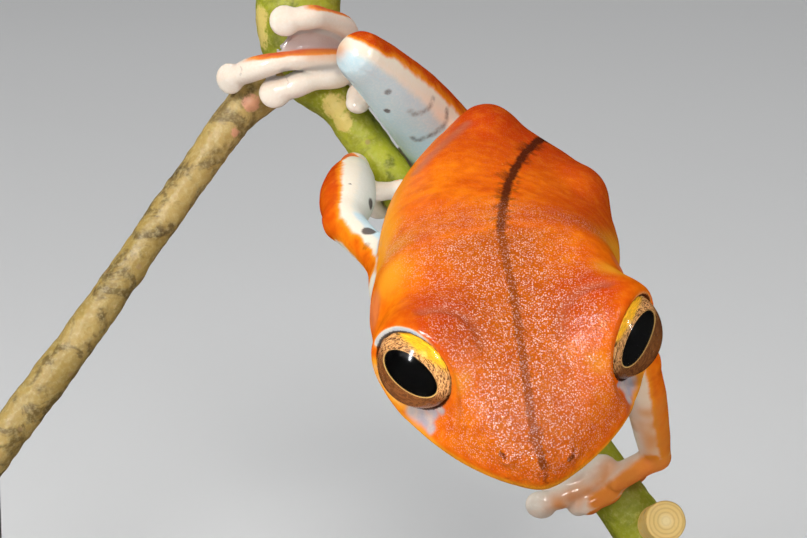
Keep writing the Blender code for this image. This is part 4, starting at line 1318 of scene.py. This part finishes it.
def skin_material():
    n = Nodes("frog_skin")
    wide = n.noise(0.35 * MM, 3.0)
    medium = n.noise(1.3 * MM, 3.0, 0.6)
    tiny = n.noise(6.0 * MM, 2.0, 0.6)

    # Orange skin, with red, yellow and pink places
    raw = n.plus(n.mask("orange"), n.times(n.minus(medium, 0.5), 0.5))
    is_orange = n.ramp(raw, 0.25, 0.7)
    orange = n.mix(n.ramp(wide, 0.3, 0.7), (0.84, 0.130, 0.0004), (0.94, 0.20, 0.0006))
    orange = n.mix(n.ramp(medium, 0.35, 0.75, 0.0, 0.5), orange, (0.68, 0.080, 0.0006))
    # Red: a random deeper tone and the lid mounds' colour, with painted shade on the rump and the
    # left back
    orange = n.mix(n.mask("red", 0.9), orange, (0.52, 0.028, 0.0004))
    orange = n.mix(n.ramp(raw, 1.05, 0.6, 0.0, 0.75), orange, (0.95, 0.33, 0.012))
    orange = n.mix(n.mask("yellow", 0.9), orange, (0.93, 0.38, 0.02))
    orange = n.mix(n.mask("pink", 0.45), orange, (0.82, 0.30, 0.14))

    # Pale skin, from cream to bluish
    pale = n.mix(n.mask("blue"), (0.88, 0.80, 0.64), (0.54, 0.72, 0.78))
    pale = n.mix(n.mask("pink", n.minus(1.0, n.mask("blue"))), pale, (0.84, 0.64, 0.52))
    pale = n.mix(n.ramp(tiny, 0.35, 0.8, 0.0, 0.3), pale, (0.9, 0.86, 0.8))

    # Stains, specks, webs, dark marks and painted shade over both
    colour = n.mix(is_orange, pale, orange)
    # Brown: a line along the side's edge and the hand's edge, with painted shade in the folds
    # behind the lid mounds, on the left arm's inner face and beside the right thigh
    colour = n.mix(n.mask("brown", 0.8), colour, (0.40, 0.13, 0.075))
    # Tan: stains on the left arm and hand, with painted shade at the roots of the right foot's toes
    colour = n.mix(n.mask("tan", 0.9), colour, (0.72, 0.24, 0.035))
    lilac = n.mix(n.ramp(medium, 0.3, 0.7), (0.37, 0.41, 0.50), (0.60, 0.54, 0.48))
    colour = n.mix(n.ramp(n.mask("lilac"), -0.05, 1.0, 0.0, 0.92), colour, lilac)
    distance, tone = n.cells(0.55 * MM)
    speck = n.times(n.ramp(distance, 0.075, 0.045), n.ramp(n.channel(tone, 1), 0.55, 0.6))
    colour = n.mix(n.times(n.times(speck, n.mask("speck")), 0.8), colour, (0.9, 0.55, 0.12))
    colour = n.mix(n.mask("web", 0.85), colour, (0.42, 0.40, 0.39))
    # Dark: marks and bars, with painted shade in the nostrils, near the right knee and behind two
    # toe discs
    ink = n.ramp(n.plus(n.mask("dark"), n.times(n.minus(tiny, 0.5), 0.4)), 0.08, 0.75)
    ink_colour = n.mix(is_orange, (0.10, 0.075, 0.065), (0.05, 0.011, 0.005))
    colour = n.mix(n.times(ink, 0.94), colour, ink_colour)

    # Painted glints: pale specks on the grains, over darker skin
    colour = n.mix(n.mask("grain", 0.55), colour, (0.46, 0.085, 0.006))
    distance, tone = n.cells(9.6 * MM)
    painted_glints = n.times(n.ramp(distance, 0.50, 0.30), n.ramp(n.channel(tone, 0), 0.0, 0.65))
    patchy = n.ramp(n.noise(1.6 * MM, 2.0), 0.3, 0.6, 0.35, 1.0)
    painted_glints = n.times(painted_glints, n.mask("grain", patchy))
    painted_glints = n.times(painted_glints, n.minus(1.0, n.times(ink, 0.45)))
    colour = n.mix(n.times(painted_glints, 0.82), colour, (0.95, 0.66, 0.56))
    roughness = n.ramp(n.mask("grain"), 0.0, 0.8, 0.42, 0.30)
    height = n.plus(n.times(n.cells(9.6 * MM, "SMOOTH_F1")[0], -0.7),
                    n.times(n.cells(2.1 * MM, "SMOOTH_F1")[0], -0.7))
    height = n.times(height, n.plus(n.mask("grain", 0.85), 0.15))
    normal = n.bump(tiny, 0.000012, 0.35, n.bump(height, 0.00009, 1.0))
    n.link(normal, n.shader.inputs["Coat Normal"])
    return n.finish(colour, roughness, normal, coat_weight=0.25, coat_roughness=0.09,
                    specular_ior_level=0.0, subsurface_weight=0.03, subsurface_scale=0.0005)


skin = skin_mesh("frog_skin", points, quads)
for name, values in masks.items():
    store(skin, name, np.clip(values, 0.0, 1.0))
FLESH = ["head", "torso"] + [part + "_" + side for side in SIDES for part in
                             ("upper_arm", "forearm", "hand", "thigh", "shank", "tarsus", "foot")]
dress(skin, skin_material(), "orange_skin", *FLESH)


# Eyes: a clear ball over a sunk iris
RING_SIDES = 96
BALL_END = 0.02
IRIS_GAP = 0.06
IRIS_PLANE = 1.02
IRIS_DOME = 0.10
PUPIL = (1.62, 1.08)


def turned(profile):
    """Rings about the local Z axis from rows of radius and height."""
    c, s = circle(RING_SIDES)
    return [np.stack([r * c, r * s, np.full(RING_SIDES, z)], 1) for r, z in profile]


def sphere_rows(radius, first, last, count):
    return [(radius * math.sin(a), -radius * math.cos(a)) for a in np.linspace(first, last, count)]


def solid_of(name, rings):
    """Closed mesh of rings, with a flat face over each end."""
    n, count = len(rings[0]), len(rings)
    faces = bands(count, n).tolist()
    faces += [list(range(n))[::-1], list(range((count - 1) * n, count * n))]
    mesh = bpy.data.meshes.new(name)
    mesh.from_pydata(np.vstack(rings) * METRE, [], faces)
    bm = bmesh.new()
    bm.from_mesh(mesh)
    bmesh.ops.recalc_face_normals(bm, faces=bm.faces)
    bm.to_mesh(mesh)
    bm.free()
    return as_object(name, mesh)


def eye_matrix(side):
    """Place of an eye: X along the pupil, Z along the eye's axis."""
    axis = eye_axis(side)
    long_way = unit(FORWARD - axis * FORWARD.dot(axis)) * -side
    matrix = Matrix(np.stack([long_way, np.cross(axis, long_way), axis], 1).tolist()).to_4x4()
    matrix.translation = Vector(eye_centre(side) * METRE)
    return matrix


def iris_material():
    n = Nodes("iris")
    parts = n.make("SeparateXYZ", {0: n.place})
    u, v = n.times(parts.outputs[0], MM), n.times(parts.outputs[1], MM)

    def length(a, b):
        return n.math("SQRT", n.plus(n.times(a, a), n.times(b, b)))

    ring = length(n.math("DIVIDE", u, PUPIL[0]), n.math("DIVIDE", v, PUPIL[1]))
    away = length(u, v)
    round_way = n.make("CombineXYZ", {0: n.math("DIVIDE", u, away), 1: n.math("DIVIDE", v, away),
                                      2: n.times(away, 2.1)}).outputs[0]
    waver = n.noise(2.6, 2.0, 0.5, 0.3, round_way)
    wave = n.plus(n.times(away, 36.0), n.times(waver, 34.0))
    worm = n.times(n.ramp(n.math("SINE", wave), -0.25, 0.55),
                   n.ramp(n.noise(5.0, 1.0, 0.5, 0.0, round_way), 0.32, 0.44))
    fleck = n.noise(9.0 * MM, 2.0)
    colour = n.mix(n.ramp(fleck, 0.35, 0.65), (0.62, 0.29, 0.10), (0.80, 0.43, 0.17))
    above = n.ramp(n.minus(v, n.times(n.math("ABSOLUTE", u), 0.12)), 1.15, 1.75)
    colour = n.mix(above, colour, (1.0, 0.49, 0.02))
    colour = n.mix(n.times(n.ramp(v, 0.5, -0.7), 0.94), colour, (0.13, 0.036, 0.008))
    rim_free = n.ramp(above, 0.4, 1.0, 0.9, 0.3)
    colour = n.mix(n.times(worm, rim_free), colour, (0.085, 0.026, 0.008))
    margin = n.times(n.ramp(ring, 1.075, 1.04), n.ramp(v, 0.3, -0.5, 0.12, 1.0))
    colour = n.mix(margin, colour, (0.75, 0.48, 0.15))
    colour = n.mix(n.ramp(ring, 1.035, 1.0), colour, (0.0012, 0.0012, 0.0012))
    return n.finish(colour, n.ramp(fleck, 0.3, 0.7, 0.5, 0.65), specular_ior_level=0.02)


def clear_material():
    n = Nodes("cornea")
    haze = n.noise(0.4 * MM, 2.0)
    return n.finish(n.mix(haze, (0.99, 0.99, 1.0), (1.0, 1.0, 0.99)), 0.12,
                    transmission_weight=1.0, ior=1.22)


iris_look, clear_look = iris_material(), clear_material()
for name, side in SIDES.items():
    ball = sphere_rows(EYE_RADIUS, BALL_END, math.pi - BALL_END, 60)
    inner = EYE_RADIUS - IRIS_GAP
    iris = sphere_rows(inner, 0.03, math.acos(-IRIS_PLANE / inner), 40)
    edge_radius = iris[-1][0]
    iris += [(edge_radius * (1 - t), IRIS_PLANE + IRIS_DOME * math.sin(t * math.pi * 0.5))
             for t in np.linspace(0.02, 0.985, 24)]
    for piece, profile, look in (("eye_ball_", ball, clear_look), ("eye_iris_", iris, iris_look)):
        obj = solid_of(piece + name, turned(profile))
        obj.matrix_world = eye_matrix(side)
        dress(obj, look, "eye", "eye_" + name)


# Wood
CUT_RINGS = (0.02, 0.35, 0.7, 0.93)
CUT_BEVEL = 0.08


def woody(name, stations, sides, step, lumps, seed, knobs):
    """Bark-covered length with uneven skin, knobs and cut ends."""
    rows = course(stations, 40)
    steps = np.linalg.norm(np.diff(rows[:, :3], axis=0), axis=1)
    length = np.concatenate([[0], np.cumsum(steps)])
    at = np.linspace(0, length[-1], int(length[-1] / step))
    rows = np.stack([np.interp(at, length, rows[:, k]) for k in range(4)], 1)
    frames = carried_frames(rows[:, :3], np.array([0.0, 1.0, 0.1]))
    c, s = circle(sides)
    rings = []
    for row, (side, up, _) in zip(rows, frames):
        out = np.outer(c, side) + np.outer(s, up)
        spots = row[:3] + out * row[3]
        bumps = np.array([lumps * noise.noise(Vector(p) * 0.55 + Vector((seed, 0, 0)))
                          + 0.4 * lumps * noise.noise(Vector(p) * 1.9 + Vector((0, seed, 0)))
                          for p in spots])
        for knob, size, rise in knobs:
            bumps = bumps + rise * np.exp(-((spots - knob) ** 2).sum(1) / size ** 2)
        rings.append(row[:3] + out * (row[3] + bumps - 0.4 * lumps)[:, None])
    caps = [[rows[end, :3] + (rings[end] - rows[end, :3]) * k for k in CUT_RINGS]
            for end in (0, -1)]
    rings[0] = rings[0] + frames[0][2] * CUT_BEVEL
    rings[-1] = rings[-1] - frames[-1][2] * CUT_BEVEL
    depth = [*CUT_RINGS] + [1.0] * len(rings) + [*CUT_RINGS[::-1]]
    rings = caps[0] + rings + caps[1][::-1]
    obj = solid_of(name, rings)
    store(obj, "rim", np.repeat(depth, sides))
    verts = np.vstack(rings)
    tint = np.zeros(len(verts))
    for knob, size, _ in knobs:
        away = np.linalg.norm(verts - knob, axis=1)
        tint = np.maximum(tint, fade(away, size * 0.6, size * 1.5))
    store(obj, "tint", tint)
    return obj


def bark_material(name, base, light, dark_tone, scar, tint, mottle):
    n = Nodes(name)
    wide = n.noise(0.12 * MM, 4.0, 0.6)
    medium = n.noise(0.5 * MM, 4.0, 0.6)
    tiny = n.noise(3.5 * MM, 3.0, 0.6)
    colour = n.mix(n.ramp(wide, 0.35, 0.65), base, light)
    colour = n.mix(n.ramp(medium, 0.62 - 0.12 * mottle, 0.72, 0.0, 0.9), colour, dark_tone)
    blotch = n.noise(0.42 * MM, 4.0, 0.65, 0.8)
    colour = n.mix(n.ramp(blotch, 0.50, 0.62, 0.0, mottle), colour, dark_tone)
    colour = n.mix(n.ramp(tiny, 0.4, 0.75, 0.0, 0.5), colour, scar)
    distance, tone = n.cells(0.9 * MM)
    fleck = n.times(n.ramp(distance, 0.22, 0.12), n.ramp(n.channel(tone, 0), 0.75, 0.8))
    colour = n.mix(n.times(fleck, 0.6), colour, (0.35, 0.22, 0.10))
    patch = n.ramp(n.plus(n.mask("tint"), n.times(n.minus(tiny, 0.5), 1.8)), 0.2, 0.9)
    colour = n.mix(n.times(patch, 0.85), colour, tint)
    normal = n.bump(tiny, 0.00006, 0.6, n.bump(medium, 0.00025, 0.6))

    # Pale cut ends with growth rings and a darker pith
    on_cut = n.ramp(n.mask("rim"), 0.99, 0.93)
    colour = n.mix(n.times(on_cut, 0.85), colour, (0.78, 0.54, 0.19))
    ring = n.math("SINE", n.times(n.plus(n.mask("rim"), n.times(medium, 0.12)), 30.0))
    colour = n.mix(n.times(n.ramp(ring, -0.2, 1.0, 0.0, 0.4), on_cut), colour, dark_tone)
    pith = n.ramp(n.mask("rim"), 0.5, 0.1, 0.0, 0.7)
    colour = n.mix(n.times(pith, on_cut), colour, scar)
    return n.finish(colour, n.ramp(medium, 0.3, 0.7, 0.45, 0.65), normal, subsurface_weight=0.04,
                    subsurface_scale=0.0005, specular_ior_level=0.2)


# Piece, node, slot, course, shape (sides, step, lumps, seed), knobs (place, size, rise) and
# tones (base, light, dark, scar, tint of the knobs, mottling)
WOOD = (
    ("branch_bark", "perch_branch", "green_bark", BRANCH, (96, 0.16, 0.10, 3.0),
     (((-4.46, 10.47, 26.0), 0.8, 0.10), ((-3.95, 9.43, 25.9), 0.7, 0.12),
      ((-9.36, 16.02, 26.4), 0.9, 0.0), ((-9.49, 14.86, 26.4), 0.8, 0.0)),
     ((0.22, 0.25, 0.008), (0.40, 0.41, 0.02), (0.10, 0.115, 0.006), (0.46, 0.44, 0.10),
      (0.72, 0.55, 0.16), 0.35)),
    ("twig_bark", "perch_twig", "brown_bark", TWIG, (80, 0.16, 0.14, 9.0),
     (((-9.79, 10.66, 26.0), 0.55, 0.38), ((-10.75, 8.73, 26.0), 0.35, 0.1)),
     ((0.36, 0.24, 0.06), (0.52, 0.36, 0.12), (0.06, 0.033, 0.010), (0.55, 0.45, 0.2),
      (0.70, 0.33, 0.20), 0.65)),
    ("stub_bark", "perch_stub", "cut_wood", STUB, (64, 0.08, 0.06, 5.0), (),
     ((0.82, 0.54, 0.14), (0.90, 0.64, 0.22), (0.50, 0.28, 0.06), (0.85, 0.70, 0.36),
      (0.6, 0.4, 0.2), 0.1)),
)
for piece, node, slot, stations, shape, knobs, tones in WOOD:
    knobs = [(plan(place), size, rise) for place, size, rise in knobs]
    dress(woody(piece, stations, *shape, knobs), bark_material(slot, *tones), slot, node)


# Stand
def stand_wood_material():
    n = Nodes("stand_wood")
    stretch = n.make("Mapping", {"Vector": n.place, "Scale": (1.0, 9.0, 3.0)}).outputs[0]
    rings = n.noise(0.16 * MM, 4.0, 0.6, 1.2, stretch)
    pores = n.noise(1.1 * MM, 2.0, 0.7, 0.0, stretch)
    colour = n.mix(n.ramp(rings, 0.35, 0.65), (0.055, 0.026, 0.013), (0.115, 0.056, 0.027))
    colour = n.mix(n.ramp(pores, 0.58, 0.72, 0.0, 0.6), colour, (0.03, 0.014, 0.008))
    return n.finish(colour, n.ramp(rings, 0.3, 0.7, 0.3, 0.42), n.bump(pores, 0.00003, 0.3),
                    coat_weight=0.25, coat_roughness=0.2)


# The rods keep the frame's steel
base_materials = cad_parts["stand_base"].data.materials
base_materials.clear()
base_materials.append(stand_wood_material())


# Floor, light and camera
def floor_material():
    n = Nodes("studio_floor")
    soft = n.noise(0.004 * MM, 2.0)
    return n.finish(n.mix(soft, (0.78, 0.78, 0.77), (0.80, 0.80, 0.79)),
                    n.ramp(soft, 0.3, 0.7, 0.7, 0.8))


FLOOR_RADIUS = 4.0
bpy.ops.mesh.primitive_circle_add(vertices=96, radius=FLOOR_RADIUS, fill_type="NGON",
                                  location=(0, 0, 0))
floor = bpy.context.object
floor.name = "studio_floor"
floor.data.materials.append(floor_material())

world = bpy.data.worlds.new("studio")
scene.world = world
world.use_nodes = True
background = world.node_tree.nodes["Background"].inputs
background["Color"].default_value = (0.93, 0.95, 1.0, 1.0)
background["Strength"].default_value = 0.22

# Only the two strips show as highlights, and only the soft lights light the surfaces
AIM = plan((4.0, -1.0, 3.0)) * METRE
STRIP_DISTANCE = 0.24
SOFT_DISTANCE = 0.42


def area_light(name, offset, width, height, power):
    data = bpy.data.lights.new(name, "AREA")
    data.shape = "RECTANGLE"
    data.size, data.size_y = width, height
    data.energy = power
    obj = bpy.data.objects.new(name, data)
    obj.location = AIM + offset
    obj.rotation_euler = Vector(-np.asarray(offset)).to_track_quat("-Z", "Y").to_euler()
    scene.collection.objects.link(obj)
    return obj


for name, way, power in (("strip_right", (-0.513, 0.30, -0.805), 1.7),
                         ("strip_left", (0.52, 0.34, -0.79), 0.4)):
    strip = area_light(name, turn(way) * STRIP_DISTANCE, 0.030, 0.100, power)
    strip.visible_diffuse = False
for name, offset, size, power in (
        ("front_soft", turn((0.0, 0.32, -0.8)) * SOFT_DISTANCE, 0.1, 0.74),
        ("key_soft", turn((-0.62, 0.48, -0.62)) * SOFT_DISTANCE, 0.26, 1.05),
        ("top_soft", np.array([0.05, 0.16, 0.45]), 0.5, 0.52)):
    area_light(name, offset, size, size, power).visible_glossy = False
world.cycles_visibility.glossy = False
floor.visible_glossy = False

camera_data = bpy.data.cameras.new("camera")
camera_data.sensor_fit = "HORIZONTAL"
camera_data.sensor_width = 36.0
camera_data.lens = camera_data.sensor_width * FOCAL / VIEW_SIZE[0]
camera_data.clip_start = 0.01
camera_data.clip_end = 20.0
camera = bpy.data.objects.new("camera", camera_data)
camera.location = EYE_POINT * METRE
camera.rotation_euler = (math.radians(90.0) - PLAN_TILT, 0.0, 0.0)
scene.collection.objects.link(camera)
scene.camera = camera
scene.view_settings.view_transform = "Standard"
scene.view_settings.look = "None"
